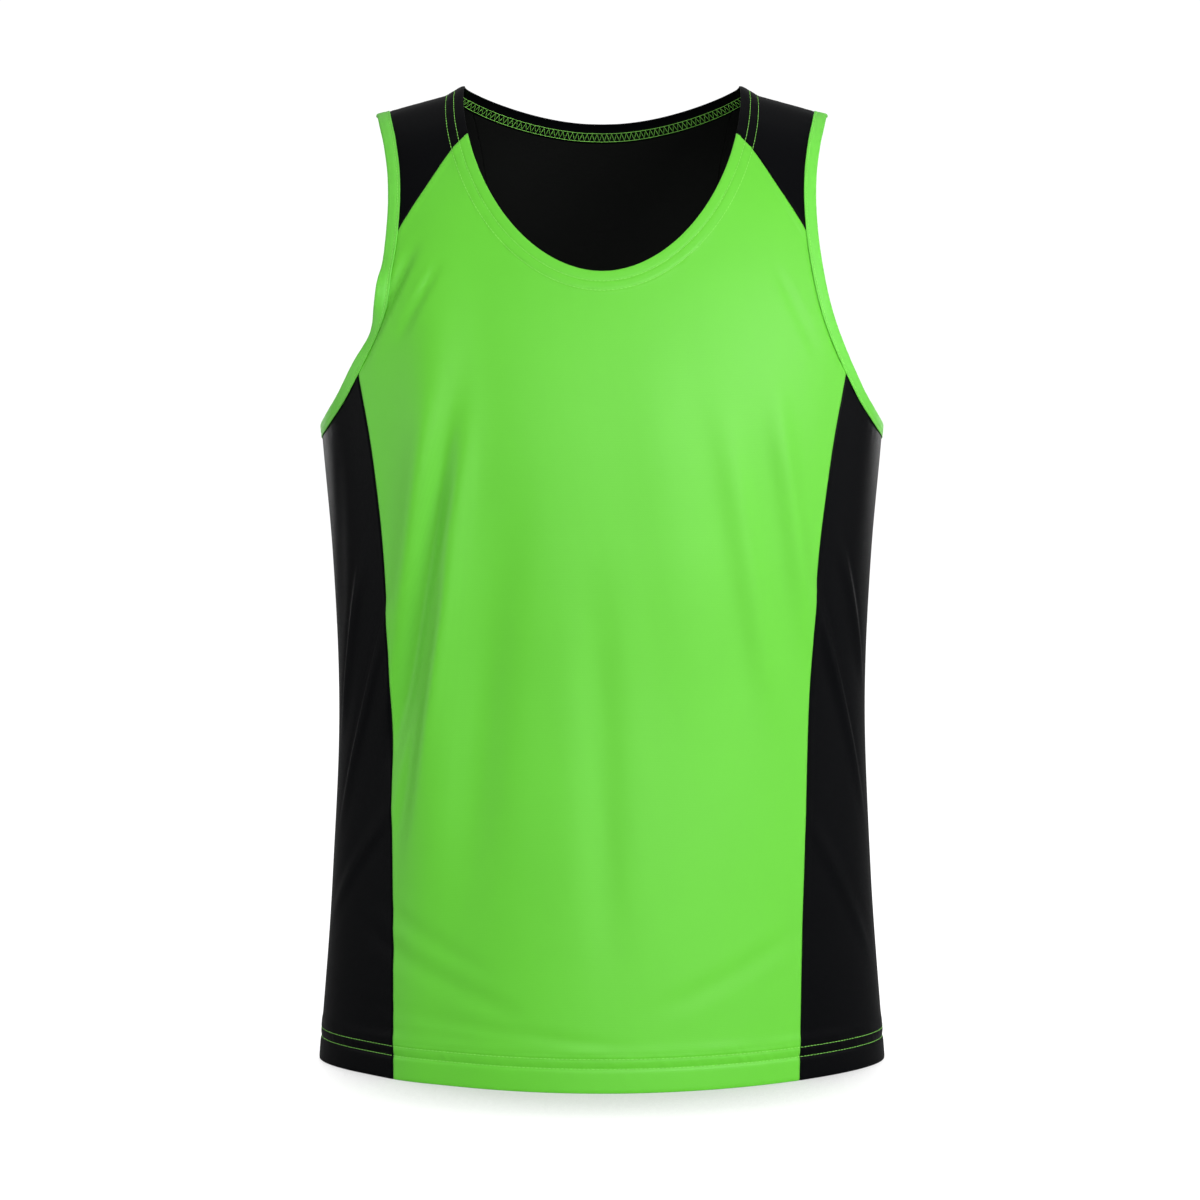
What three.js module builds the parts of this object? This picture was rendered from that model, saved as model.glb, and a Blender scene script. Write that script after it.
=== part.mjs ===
// Athletic singlet, hollow and filled out as if worn. Millimetres, +Z up, front towards -Y.
// The origin lies midway between the two shoulder points at the neck, where the wearer holds it up.
import * as THREE from 'three';

const SIZE = {
  wall: 1.5,               // thickness of one cloth wall
  seam_gap: 0.3,           // space left between neighbouring pieces
  neck_half_width: 98,
  neck_front_drop: 147,
  neck_back_drop: 15,
  neck_stand: 3.2,         // how far the neck edge stands above the straight shoulder line
  neck_stand_width: 14,
  ridge_half_width: 153.3, // shoulder line, from the centre to the armhole binding
  side_drop: 250,          // panels end here under the arm
  hem_half_width: 137.5,   // from the centre to the front side seam, at the hem
  hem_twist: -4.9,         // sideways drift of the cloth at centre front, from armhole to hem
  hem_depth: 22,
  hem_turning: 1,          // extra thickness of the turned hem
  hem_step: 1.5,
  binding_width: 8.5,
  binding_lift: 0.4,       // how far the binding stands above the panels
  binding_roll: 0.9,       // rounding of its folded edge
};

const SHAPE = {
  neck_front_power: 1.94,  // 2 would make the front neck an ellipse
  neck_back_power: 1.2,
  ridge_softness: 45,      // rounds the shoulder slope off across the centre
  fold_fade: 0.35,         // folds die away this close to the side of the body
};

// Level sections of the filled body. `below` is the distance under the shoulder line at the neck,
// `front` and `back` reach from the middle plane, `full` swells (or pinches) the corners of the
// oval and `slope` is the fall of the section towards the arm.
const SECTIONS = [
  { name: 'ridge', below: 0, half_width: 190, front: 0, back: 0, full: 0, slope: 0.285 },
  { name: 'crown', below: 6, half_width: 192, front: 27, back: 26, full: 0, slope: 0.285 },
  { name: 'strap', below: 28, half_width: 196, front: 56, back: 54, full: 0.05, slope: 0.25 },
  { name: 'collar', below: 70, half_width: 201, front: 82, back: 80, full: 0.12, slope: 0.19 },
  { name: 'chest', below: 135, half_width: 204, front: 106, back: 100, full: 0.16, slope: 0.09 },
  { name: 'bust', below: 205, half_width: 202.2, front: 119, back: 110, full: 0.16, slope: 0.01 },
  { name: 'underarm', below: 243, half_width: 199.6, front: 122, back: 112, full: 0.14, slope: 0 },
  { name: 'rib', below: 330, half_width: 191.9, front: 122, back: 109, full: 0.06, slope: 0 },
  { name: 'waist', below: 437, half_width: 187.3, front: 118, back: 104, full: -0.05, slope: 0 },
  { name: 'hip', below: 560, half_width: 191.7, front: 121, back: 106, full: -0.17, slope: 0 },
  { name: 'hem', below: 691, half_width: 201.3, front: 128, back: 112, full: -0.24, slope: 0 },
];

// Where the panels meet the armhole binding, from the shoulder line down.
const ARMHOLE = [
  { name: 'cap', below: 25, half_width: 150 },
  { name: 'strap', below: 46, half_width: 144.5 },
  { name: 'chest', below: 73, half_width: 140.2 },
  { name: 'narrowest', below: 95, half_width: 139.2 },
  { name: 'shoulder seam', below: 115, half_width: 140 },
  { name: 'hollow', below: 143, half_width: 143.5 },
  { name: 'turn', below: 170, half_width: 149.5 },
  { name: 'scoop', below: 194, half_width: 158.5 },
  { name: 'side seam', below: 211, half_width: 167 },
  { name: 'low scoop', below: 229.5, half_width: 178.2 },
  { name: 'underarm', below: 244, half_width: 191 },
];

// The curved seam between the front or back panel and the side panel, below the armhole.
const SIDE_SEAM = [
  { name: 'chest', below: 256, half_width: 158.5 },
  { name: 'rib', below: 300, half_width: 152.5 },
  { name: 'high waist', below: 340, half_width: 148.5 },
  { name: 'waist', below: 400, half_width: 144.5 },
  { name: 'hip', below: 500, half_width: 141.5 },
  { name: 'seat', below: 600, half_width: 139 },
];

// The slanting seam between the front panel and the shoulder panel, from neck to armhole.
const SHOULDER_SEAM = [
  { name: 'neck', below: 45, half_width: 93.5 },
  { name: 'collarbone', below: 57.5, half_width: 104 },
  { name: 'chest', below: 83.5, half_width: 120.5 },
];

// The largest folds. `x` and `below` place the middle, `lean` tips the fold from upright
// (degrees, positive towards +X at the top), `depth` is how far its trough sinks (a negative
// one is a raised crease).
const FOLDS = [
  { side: 'front', x: -122, below: 370, lean: 9, length: 220, width: 17, depth: 5 },
  { side: 'front', x: -114, below: 360, lean: 0, length: 420, width: 28, depth: -5 },
  { side: 'front', x: -79, below: 435, lean: 7, length: 260, width: 22, depth: 3.8 },
  { side: 'front', x: 0, below: 480, lean: -2, length: 240, width: 20, depth: 2.2 },
  { side: 'front', x: 114, below: 335, lean: -9, length: 180, width: 20, depth: -2.5 },
  { side: 'back', x: -112, below: 380, lean: -12, length: 220, width: 24, depth: 5 },
  { side: 'back', x: 108, below: 400, lean: 14, length: 200, width: 22, depth: 5 },
  { side: 'back', x: 0, below: 420, lean: 0, length: 180, width: 30, depth: 4 },
];

const STEPS = {
  side_seam: 21,
  arm_front: 8,
  arm_shoulder: 9,
  arm_back: 17,
  arm_under: 12,
  shoulder_seam: 6,
  neck_front: 18,
  neck_back: 14,
};

const DYES = {
  green: { color: 0x6cd645, roughness: 0.85, metalness: 0 },
  black: { color: 0x141517, roughness: 0.85, metalness: 0 },
};

// ---- Smooth reading of the tables ----

// Slope of the curve through the rows at row `i`, from its neighbours' distances and values.
function rowSlope(rows, key, i) {
  const rise = (k) => (rows[k + 1][key] - rows[k][key]) / (rows[k + 1].at - rows[k].at);
  if (i === 0) return rise(0);
  if (i === rows.length - 1) return rise(i - 1);
  const before = rows[i].at - rows[i - 1].at;
  const after = rows[i + 1].at - rows[i].at;
  return (rise(i - 1) * after + rise(i) * before) / (before + after);
}

// Value of a column at distance `at`, on a cubic curve that passes through every row.
function readColumn(rows, key, at) {
  let i = 0;
  while (i < rows.length - 2 && at > rows[i + 1].at) i += 1;
  const span = rows[i + 1].at - rows[i].at;
  const s = (at - rows[i].at) / span;
  const start = rows[i][key];
  const end = rows[i + 1][key];
  const lead = rowSlope(rows, key, i) * span;
  const tail = rowSlope(rows, key, i + 1) * span;
  const turn = s * s * (3 - 2 * s);
  return start + (end - start) * turn + s * (1 - s) * (lead * (1 - s) - tail * s);
}

function withDistances(rows, distance) {
  let at = 0;
  return rows.map((row, i) => {
    if (i > 0) at += distance(rows[i - 1], row);
    return { ...row, at };
  });
}

function smoothStep(value) {
  const s = THREE.MathUtils.clamp(value, 0, 1);
  return s * s * (3 - 2 * s);
}

// ---- The filled body the cloth lies on ----

const LEVELS = withDistances(SECTIONS, (a, b) => Math.hypot(b.below - a.below, b.front - a.front));
const HEM = LEVELS[LEVELS.length - 1].at;
const CROWN = LEVELS[1];
const OVER_THE_RIDGE = { ...CROWN, at: -CROWN.at, front: -CROWN.front, back: -CROWN.back };
const BODY = [OVER_THE_RIDGE, ...LEVELS];
const RIDGE_SLOPE = SECTIONS[0].slope;
const TWIST_START = LEVELS.find((level) => level.name === 'bust').at;

// Every column of the body at a distance `along` the cloth from the shoulder line.
function levelAt(along) {
  const read = (key) => readColumn(BODY, key, along);
  return {
    below: read('below'),
    half_width: read('half_width'),
    front: read('front'),
    back: read('back'),
    full: read('full'),
    slope: read('slope'),
  };
}

function heightOn(level, x) {
  const soft = (value) => Math.hypot(value, SHAPE.ridge_softness);
  const fall = level.slope * (soft(x) - soft(SIZE.neck_half_width));
  const past_neck = (Math.abs(x) - SIZE.neck_half_width) / SIZE.neck_stand_width;
  const stand = SIZE.neck_stand * smoothStep(past_neck) * (level.slope / RIDGE_SLOPE) ** 4;
  return -level.below - fall - stand;
}

// Point of the body at an angle round it (0 at centre front, 90 degrees at the +X side).
function bodyPoint(angle, along) {
  const level = levelAt(along);
  const across = Math.sin(angle);
  const facing = Math.cos(angle);
  const reach = facing > 0 ? level.front : level.back;
  const x = level.half_width * across;
  const y = -reach * facing * (1 + level.full * across * across);
  return new THREE.Vector3(x, y, heightOn(level, x));
}

function normalOn(surface, angle, along) {
  const turn = 0.002;
  const step = 0.4;
  const across = surface(angle + turn, along).sub(surface(angle - turn, along));
  const down = surface(angle, along + step).sub(surface(angle, along - step));
  return down.cross(across).normalize();
}

// A trough with soft raised sides, fading out at both ends.
function foldHeight(fold, x, below) {
  const lean = THREE.MathUtils.degToRad(fold.lean);
  const dx = x - fold.x;
  const up = fold.below - below;
  const lengthwise = up * Math.cos(lean) + dx * Math.sin(lean);
  const crosswise = dx * Math.cos(lean) - up * Math.sin(lean);
  const spread = (crosswise / fold.width) ** 2;
  const fade = Math.exp(-((2 * lengthwise / fold.length) ** 4));
  return -fold.depth * (1 - 1.2 * spread) * Math.exp(-spread) * fade;
}

function foldsAt(point, angle) {
  const facing = Math.cos(angle);
  const side = facing > 0 ? 'front' : 'back';
  const fade = smoothStep(Math.abs(facing) / SHAPE.fold_fade);
  const folds = FOLDS.filter((fold) => fold.side === side);
  return fade * folds.reduce((sum, fold) => sum + foldHeight(fold, point.x, -point.z), 0);
}

// How far the knit has crept round the body, as an angle, below the armholes.
function twistAt(along) {
  const share = Math.max(0, (along - TWIST_START) / (HEM - TWIST_START));
  return (SIZE.hem_twist / SECTIONS[SECTIONS.length - 1].half_width) * share;
}

// Outer face of the cloth.
function clothPoint(angle, along) {
  const turned = angle + twistAt(along);
  const point = bodyPoint(turned, along);
  const normal = normalOn(bodyPoint, turned, along);
  return point.addScaledVector(normal, foldsAt(point, turned));
}

// ---- Lines on the cloth; a mark is { angle, along } ----

const HALF_TURN = Math.PI;
const SIDE = Math.PI / 2;

// The mark seen at x and height -below from the front or from the back.
function markAt(side, x, below) {
  let low = 0;
  let high = HEM;
  while (high - low > 0.0005) {
    const middle = (low + high) / 2;
    if (heightOn(levelAt(middle), x) > -below) low = middle;
    else high = middle;
  }
  return markOn(side, x, (low + high) / 2);
}

function markOn(side, x, along) {
  const share = THREE.MathUtils.clamp(x / levelAt(along).half_width, -1, 1);
  const angle = Math.asin(share);
  return { angle: side === 'front' ? angle : HALF_TURN - angle, along };
}

function marksFrom(side, rows) {
  return rows.map((row) => markAt(side, row.half_width, row.below));
}

function bodyDistance(a, b) {
  return bodyPoint(a.angle, a.along).distanceTo(bodyPoint(b.angle, b.along));
}

function evenly(start, end, steps) {
  return Array.from({ length: steps + 1 }, (_, k) => start + (end - start) * (k / steps));
}

// A smooth line through marks, read at evenly spaced distances between two of its marks.
function lineThrough(marks, steps, from = 0, to = marks.length - 1) {
  const rows = withDistances(marks, bodyDistance);
  return readLine(rows, evenly(rows[from].at, rows[to].at, steps));
}

function readLine(rows, distances) {
  return distances.map((at) => ({
    angle: readColumn(rows, 'angle', at),
    along: readColumn(rows, 'along', at),
  }));
}

const backwards = (line) => [...line].reverse();
const joined = (first, second) => [...first, ...second.slice(1)];
const onOtherSide = (line) => line.map(({ angle, along }) => ({ angle: -angle, along }));
const pastCentreBack = (line) => line.map(({ angle, along }) => ({ angle: 2 * HALF_TURN - angle, along }));

// ---- The seams and edges of the +X half ----

// Quarter-oval neck edge: turn 0 at the shoulder line, a quarter turn at centre front.
function neckFrontMark(turn) {
  const power = 2 / SHAPE.neck_front_power;
  const x = SIZE.neck_half_width * Math.max(0, Math.cos(turn)) ** power;
  const below = SIZE.neck_front_drop * Math.sin(turn) ** power;
  return markAt('front', x, below);
}

function neckBackMark(share) {
  const below = SIZE.neck_back_drop * (1 - share * share) ** SHAPE.neck_back_power;
  return markAt('back', SIZE.neck_half_width * share, below);
}

// The neck edge of the shoulder panel, from the seam with the front panel up to the ridge.
function neckBesideShoulder(steps) {
  const marks = evenly(1, 0, 8).map((share) => neckFrontMark(SEAM_TURN * share * share));
  marks[marks.length - 1] = markOn('front', SIZE.neck_half_width, 0);
  return lineThrough(marks, steps);
}

function neckInFront(steps) {
  return lineThrough(evenly(SIDE, SEAM_TURN, 8).map(neckFrontMark), steps);
}

function neckBehind(steps) {
  const marks = evenly(1, 0, 10).map((share) => neckBackMark(1 - share * share));
  marks[marks.length - 1] = markOn('back', SIZE.neck_half_width, 0);
  return lineThrough(marks, steps);
}

function ridge(side, steps) {
  const ends = [SIZE.neck_half_width, SIZE.ridge_half_width];
  return lineThrough(ends.map((x) => markOn(side, x, 0)), steps);
}

// A side seam from the hem up to the armhole, with a row on each edge of the turned hem.
function sideSeam(side, top, steps) {
  const marks = [markOn(side, SIZE.hem_half_width, HEM), ...marksFrom(side, backwards(SIDE_SEAM)), top];
  const rows = withDistances(marks, bodyDistance);
  const above_hem = SIZE.hem_depth + SIZE.hem_step;
  const end = rows[rows.length - 1].at;
  return readLine(rows, [0, SIZE.hem_depth, ...evenly(above_hem, end, steps)]);
}

const SEAM_TURN = Math.asin((SHOULDER_SEAM[0].below / SIZE.neck_front_drop) ** (SHAPE.neck_front_power / 2));

const ARM_MARKS = [
  markOn('front', SIZE.ridge_half_width, 0),
  ...marksFrom('front', ARMHOLE),
  { angle: SIDE, along: markAt('front', 0, SIZE.side_drop).along },
  ...marksFrom('back', backwards(ARMHOLE)),
  markOn('back', SIZE.ridge_half_width, 0),
];
const RIDGE_BEHIND = ARM_MARKS.length - 1;
const SHOULDER_SEAM_END = 1 + ARMHOLE.findIndex((row) => row.name === 'shoulder seam');
const SIDE_SEAM_END = 1 + ARMHOLE.findIndex((row) => row.name === 'side seam');
const SIDE_SEAM_END_BEHIND = RIDGE_BEHIND - SIDE_SEAM_END;

function seamLines() {
  const arm = (steps, from, to) => lineThrough(ARM_MARKS, steps, from, to);
  const shoulder_marks = [neckFrontMark(SEAM_TURN), ...marksFrom('front', SHOULDER_SEAM.slice(1))];
  return {
    arm_shoulder: arm(STEPS.arm_shoulder, 0, SHOULDER_SEAM_END),
    arm_front: arm(STEPS.arm_front, SHOULDER_SEAM_END, SIDE_SEAM_END),
    arm_under: arm(STEPS.arm_under, SIDE_SEAM_END, SIDE_SEAM_END_BEHIND),
    arm_back: arm(STEPS.arm_back, SIDE_SEAM_END_BEHIND, RIDGE_BEHIND),
    shoulder_seam: lineThrough([...shoulder_marks, ARM_MARKS[SHOULDER_SEAM_END]], STEPS.shoulder_seam),
    side_seam_front: sideSeam('front', ARM_MARKS[SIDE_SEAM_END], STEPS.side_seam),
    side_seam_back: sideSeam('back', ARM_MARKS[SIDE_SEAM_END_BEHIND], STEPS.side_seam),
    ridge_front: ridge('front', STEPS.shoulder_seam),
    ridge_back: ridge('back', STEPS.shoulder_seam),
    neck_shoulder: neckBesideShoulder(STEPS.arm_shoulder),
    neck_front: neckInFront(STEPS.neck_front / 2),
    neck_back: neckBehind(STEPS.neck_back / 2),
  };
}

// ---- Panels: four edges each, bottom and top read across, left and right read upwards ----

function frontPanel(lines) {
  const right = joined(lines.side_seam_front, backwards(lines.arm_front));
  const half_top = joined(lines.neck_front, lines.shoulder_seam);
  const half_hem = lineThrough([markOn('front', 0, HEM), right[0]], half_top.length - 1);
  return {
    bottom: joined(onOtherSide(backwards(half_hem)), half_hem),
    top: joined(onOtherSide(backwards(half_top)), half_top),
    left: onOtherSide(right),
    right,
  };
}

function backPanel(lines) {
  const left = joined(lines.side_seam_back, lines.arm_back);
  const half_top = joined(lines.neck_back, lines.ridge_back);
  const half_hem = lineThrough([markOn('back', 0, HEM), left[0]], half_top.length - 1);
  return {
    bottom: joined(backwards(half_hem), pastCentreBack(half_hem)),
    top: joined(backwards(half_top), pastCentreBack(half_top)),
    left,
    right: pastCentreBack(left),
  };
}

function sidePanel(lines) {
  const left = lines.side_seam_front;
  const right = lines.side_seam_back;
  return { bottom: lineThrough([left[0], right[0]], STEPS.arm_under), top: lines.arm_under, left, right };
}

function shoulderPanel(lines) {
  return {
    bottom: lines.shoulder_seam,
    top: lines.ridge_front,
    left: lines.neck_shoulder,
    right: backwards(lines.arm_shoulder),
  };
}

function otherPanel({ bottom, top, left, right }) {
  return {
    bottom: onOtherSide(backwards(bottom)),
    top: onOtherSide(backwards(top)),
    left: onOtherSide(right),
    right: onOtherSide(left),
  };
}

// How far each row has climbed from the bottom edge, from 0 to 1; rows of a hem stay level at 0.
function climbs(line, level_rows) {
  const rows = withDistances(line, bodyDistance);
  const start = rows[Math.max(0, level_rows - 1)].at;
  const span = rows[rows.length - 1].at - start;
  return rows.map((row) => Math.max(0, row.at - start) / span);
}

// Fills the space between four edges with a net of marks.
function netBetween({ bottom, top, left, right }, level_rows) {
  const last = bottom.length - 1;
  return climbs(left, level_rows).map((climb, j) => bottom.map((_, i) => {
    const share = i / last;
    const blend = (key) => {
      const upright = (1 - climb) * bottom[i][key] + climb * top[i][key];
      const level = (1 - share) * left[j][key] + share * right[j][key];
      const low = (1 - share) * bottom[0][key] + share * bottom[last][key];
      const high = (1 - share) * top[0][key] + share * top[last][key];
      return upright + level - (1 - climb) * low - climb * high;
    };
    return { angle: blend('angle'), along: blend('along') };
  }));
}

// ---- Solids ----

function edgeLoop(rows, columns) {
  const loop = [];
  for (let i = 0; i < columns - 1; i += 1) loop.push(i);
  for (let j = 0; j < rows - 1; j += 1) loop.push(j * columns + columns - 1);
  for (let i = columns - 1; i > 0; i -= 1) loop.push((rows - 1) * columns + i);
  for (let j = rows - 1; j > 0; j -= 1) loop.push(j * columns);
  return loop;
}

// Moves the edge of a panel inwards, square to its outline, to leave half of the seam gap.
function seamAllowances(points, normals, loop, distance) {
  const inwards = loop.map((index, k) => {
    const next = loop[(k + 1) % loop.length];
    const edge = points[next].clone().sub(points[index]);
    return normals[index].clone().cross(edge).normalize();
  });
  return loop.map((_, k) => {
    const before = inwards[(k + loop.length - 1) % loop.length];
    const after = inwards[k];
    return before.clone().add(after).multiplyScalar(distance / (1 + before.dot(after)));
  });
}

function clothPanel(edges, hem_rows) {
  const net = netBetween(edges, hem_rows);
  const columns = net[0].length;
  const marks = net.flat();
  const outer = marks.map(({ angle, along }) => clothPoint(angle, along));
  const normals = marks.map(({ angle, along }) => normalOn(clothPoint, angle, along));
  const loop = edgeLoop(net.length, columns);
  const moves = seamAllowances(outer, normals, loop, SIZE.seam_gap / 2);
  loop.forEach((index, k) => outer[index].add(moves[k]));
  const inner = outer.map((point, index) => {
    const turned = index < hem_rows * columns ? SIZE.hem_turning : 0;
    return point.clone().addScaledVector(normals[index], -SIZE.wall - turned);
  });
  return closedSheet(outer, inner, loop, columns);
}

function closedSheet(outer, inner, loop, columns) {
  const far = outer.length;
  const faces = [];
  const rows = far / columns;
  for (let j = 0; j < rows - 1; j += 1) {
    for (let i = 0; i < columns - 1; i += 1) {
      const a = j * columns + i;
      const b = a + 1;
      const c = b + columns;
      const d = a + columns;
      faces.push(a, b, c, a, c, d);
      faces.push(far + a, far + c, far + b, far + a, far + d, far + c);
    }
  }
  loop.forEach((a, k) => {
    const b = loop[(k + 1) % loop.length];
    faces.push(a, far + a, far + b, a, far + b, b);
  });
  return solidFrom([...outer, ...inner], faces);
}

function solidFrom(points, faces) {
  const geometry = new THREE.BufferGeometry().setFromPoints(points);
  geometry.setIndex(faces);
  geometry.computeVertexNormals();
  return geometry;
}

// Section of the folded binding: [distance past the panels' edge, height above the cloth].
function bindingSection() {
  const { binding_width: width, binding_lift: lift, binding_roll: roll, wall } = SIZE;
  const inner = SIZE.seam_gap / 2;
  return [
    [inner, lift],
    [inner, -wall - lift],
    [width - roll, -wall - lift],
    [width, -wall / 2 - lift / 2],
    [width, -wall / 2 + lift / 2],
    [width - roll, lift],
  ];
}

// The folded band round one armhole; `line` runs once round it and is not closed.
function bindingBand(line) {
  const count = line.length;
  const points = line.map(({ angle, along }) => clothPoint(angle, along));
  const section = bindingSection();
  const rings = line.map(({ angle, along }, k) => {
    const normal = normalOn(clothPoint, angle, along);
    const run = points[(k + 1) % count].clone().sub(points[(k + count - 1) % count]);
    const outwards = normal.clone().cross(run).normalize();
    return section.map(([out, up]) => {
      return points[k].clone().addScaledVector(outwards, out).addScaledVector(normal, up);
    });
  });
  const sides = section.length;
  const faces = [];
  for (let k = 0; k < count; k += 1) {
    for (let s = 0; s < sides; s += 1) {
      const here = k * sides;
      const ahead = ((k + 1) % count) * sides;
      const next = (s + 1) % sides;
      faces.push(here + s, ahead + next, ahead + s, here + s, here + next, ahead + next);
    }
  }
  return solidFrom(rings.flat(), faces);
}

function armLoop(lines) {
  const whole = [lines.arm_shoulder, lines.arm_front, lines.arm_under, lines.arm_back].reduce(joined);
  return whole.slice(0, -1);
}

// ---- The garment ----

function piece(name, geometry, dye) {
  const mesh = new THREE.Mesh(geometry, new THREE.MeshStandardMaterial({ ...DYES[dye], name: dye }));
  mesh.name = name;
  return mesh;
}

function buildSinglet() {
  const lines = seamLines();
  const hem_rows = 2;
  const side = sidePanel(lines);
  const shoulder = shoulderPanel(lines);
  const arm = armLoop(lines);
  const singlet = new THREE.Group();
  singlet.name = 'athletic_singlet';
  singlet.add(
    piece('front_panel', clothPanel(frontPanel(lines), hem_rows), 'green'),
    piece('back_panel', clothPanel(backPanel(lines), hem_rows), 'black'),
    piece('side_panel_right', clothPanel(side, hem_rows), 'black'),
    piece('side_panel_left', clothPanel(otherPanel(side), hem_rows), 'black'),
    piece('shoulder_panel_right', clothPanel(shoulder, 0), 'black'),
    piece('shoulder_panel_left', clothPanel(otherPanel(shoulder), 0), 'black'),
    piece('armhole_binding_right', bindingBand(arm), 'green'),
    piece('armhole_binding_left', bindingBand(onOtherSide(backwards(arm))), 'green'),
  );
  return singlet;
}

export default buildSinglet();
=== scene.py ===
"""Athletic singlet in smooth polyester knit, filled out as if worn, with nobody in it.

Front towards -Y, up is +Z, metres throughout. The origin is midway between the two shoulder
points at the neck, as in the solid model that the cloth is laid over.
"""

import math
from collections import namedtuple

import bmesh
import bpy
import numpy as np
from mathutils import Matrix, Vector


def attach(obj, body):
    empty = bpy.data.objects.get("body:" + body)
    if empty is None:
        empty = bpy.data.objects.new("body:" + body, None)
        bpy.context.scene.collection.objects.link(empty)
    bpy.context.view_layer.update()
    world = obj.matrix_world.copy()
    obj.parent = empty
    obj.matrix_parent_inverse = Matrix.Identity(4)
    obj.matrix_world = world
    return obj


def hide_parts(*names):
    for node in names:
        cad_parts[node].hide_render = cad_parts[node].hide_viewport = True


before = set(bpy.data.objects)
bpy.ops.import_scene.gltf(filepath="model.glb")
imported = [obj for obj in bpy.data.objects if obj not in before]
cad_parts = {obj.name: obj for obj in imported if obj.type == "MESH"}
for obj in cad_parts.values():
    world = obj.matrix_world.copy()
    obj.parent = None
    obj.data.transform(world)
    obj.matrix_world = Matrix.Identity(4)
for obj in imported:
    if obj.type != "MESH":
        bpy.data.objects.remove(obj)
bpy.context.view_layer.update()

bl_info = {
    "name": "Athletic singlet",
    "version": (1, 0, 0),
    "blender": (4, 5, 0),
    "location": "View3D > Sidebar > Singlet",
    "description": "Cuts, sews and finishes a two-colour athletic singlet",
    "category": "Add Mesh",
}

MM = 0.001
SIDE = math.pi / 2
HALF_TURN = math.pi

# ---- Tables of the pattern -----------------------------------------------------------------

# Level sections of the filled body. `below` is the distance under the shoulder line at the neck,
# `front` and `back` reach from the middle plane, `full` swells (or pinches) the corners of the
# oval and `slope` is the fall of the section towards the arm.
Level = namedtuple("Level", "name below half_width front back full slope")
LEVELS = (
    Level("ridge", 0.000, 0.1900, 0.000, 0.000, 0.00, 0.285),
    Level("crown", 0.006, 0.1920, 0.027, 0.026, 0.00, 0.285),
    Level("strap", 0.028, 0.1960, 0.056, 0.054, 0.05, 0.250),
    Level("collar", 0.070, 0.2010, 0.082, 0.080, 0.12, 0.190),
    Level("chest", 0.135, 0.2040, 0.106, 0.100, 0.16, 0.090),
    Level("bust", 0.205, 0.2022, 0.119, 0.110, 0.16, 0.010),
    Level("underarm", 0.243, 0.1996, 0.122, 0.112, 0.14, 0.0),
    Level("rib", 0.330, 0.1919, 0.122, 0.109, 0.06, 0.0),
    Level("waist", 0.437, 0.1873, 0.118, 0.104, -0.05, 0.0),
    Level("hip", 0.560, 0.1917, 0.121, 0.106, -0.17, 0.0),
    Level("hem", 0.691, 0.2013, 0.128, 0.112, -0.24, 0.0),
)

Place = namedtuple("Place", "name below half_width")

# Where the panels meet the armhole binding, from the shoulder line down.
ARMHOLE = (
    Place("cap", 0.0250, 0.1500),
    Place("strap", 0.0460, 0.1445),
    Place("chest", 0.0730, 0.1402),
    Place("narrowest", 0.0950, 0.1392),
    Place("shoulder seam", 0.1150, 0.1400),
    Place("hollow", 0.1430, 0.1435),
    Place("turn", 0.1700, 0.1495),
    Place("scoop", 0.1940, 0.1585),
    Place("side seam", 0.2110, 0.1670),
    Place("low scoop", 0.2295, 0.1782),
    Place("underarm", 0.2440, 0.1910),
)

# The curved seam between the front or back panel and the side panel, below the armhole.
SIDE_SEAM = (
    Place("chest", 0.256, 0.1585),
    Place("rib", 0.300, 0.1525),
    Place("high waist", 0.340, 0.1485),
    Place("waist", 0.400, 0.1445),
    Place("hip", 0.500, 0.1415),
    Place("seat", 0.600, 0.1390),
)

# The slanting seam between the front panel and the shoulder panel, from neck to armhole.
SHOULDER_SEAM = (
    Place("neck", 0.0450, 0.0935),
    Place("collarbone", 0.0575, 0.1040),
    Place("chest", 0.0835, 0.1205),
)

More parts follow.
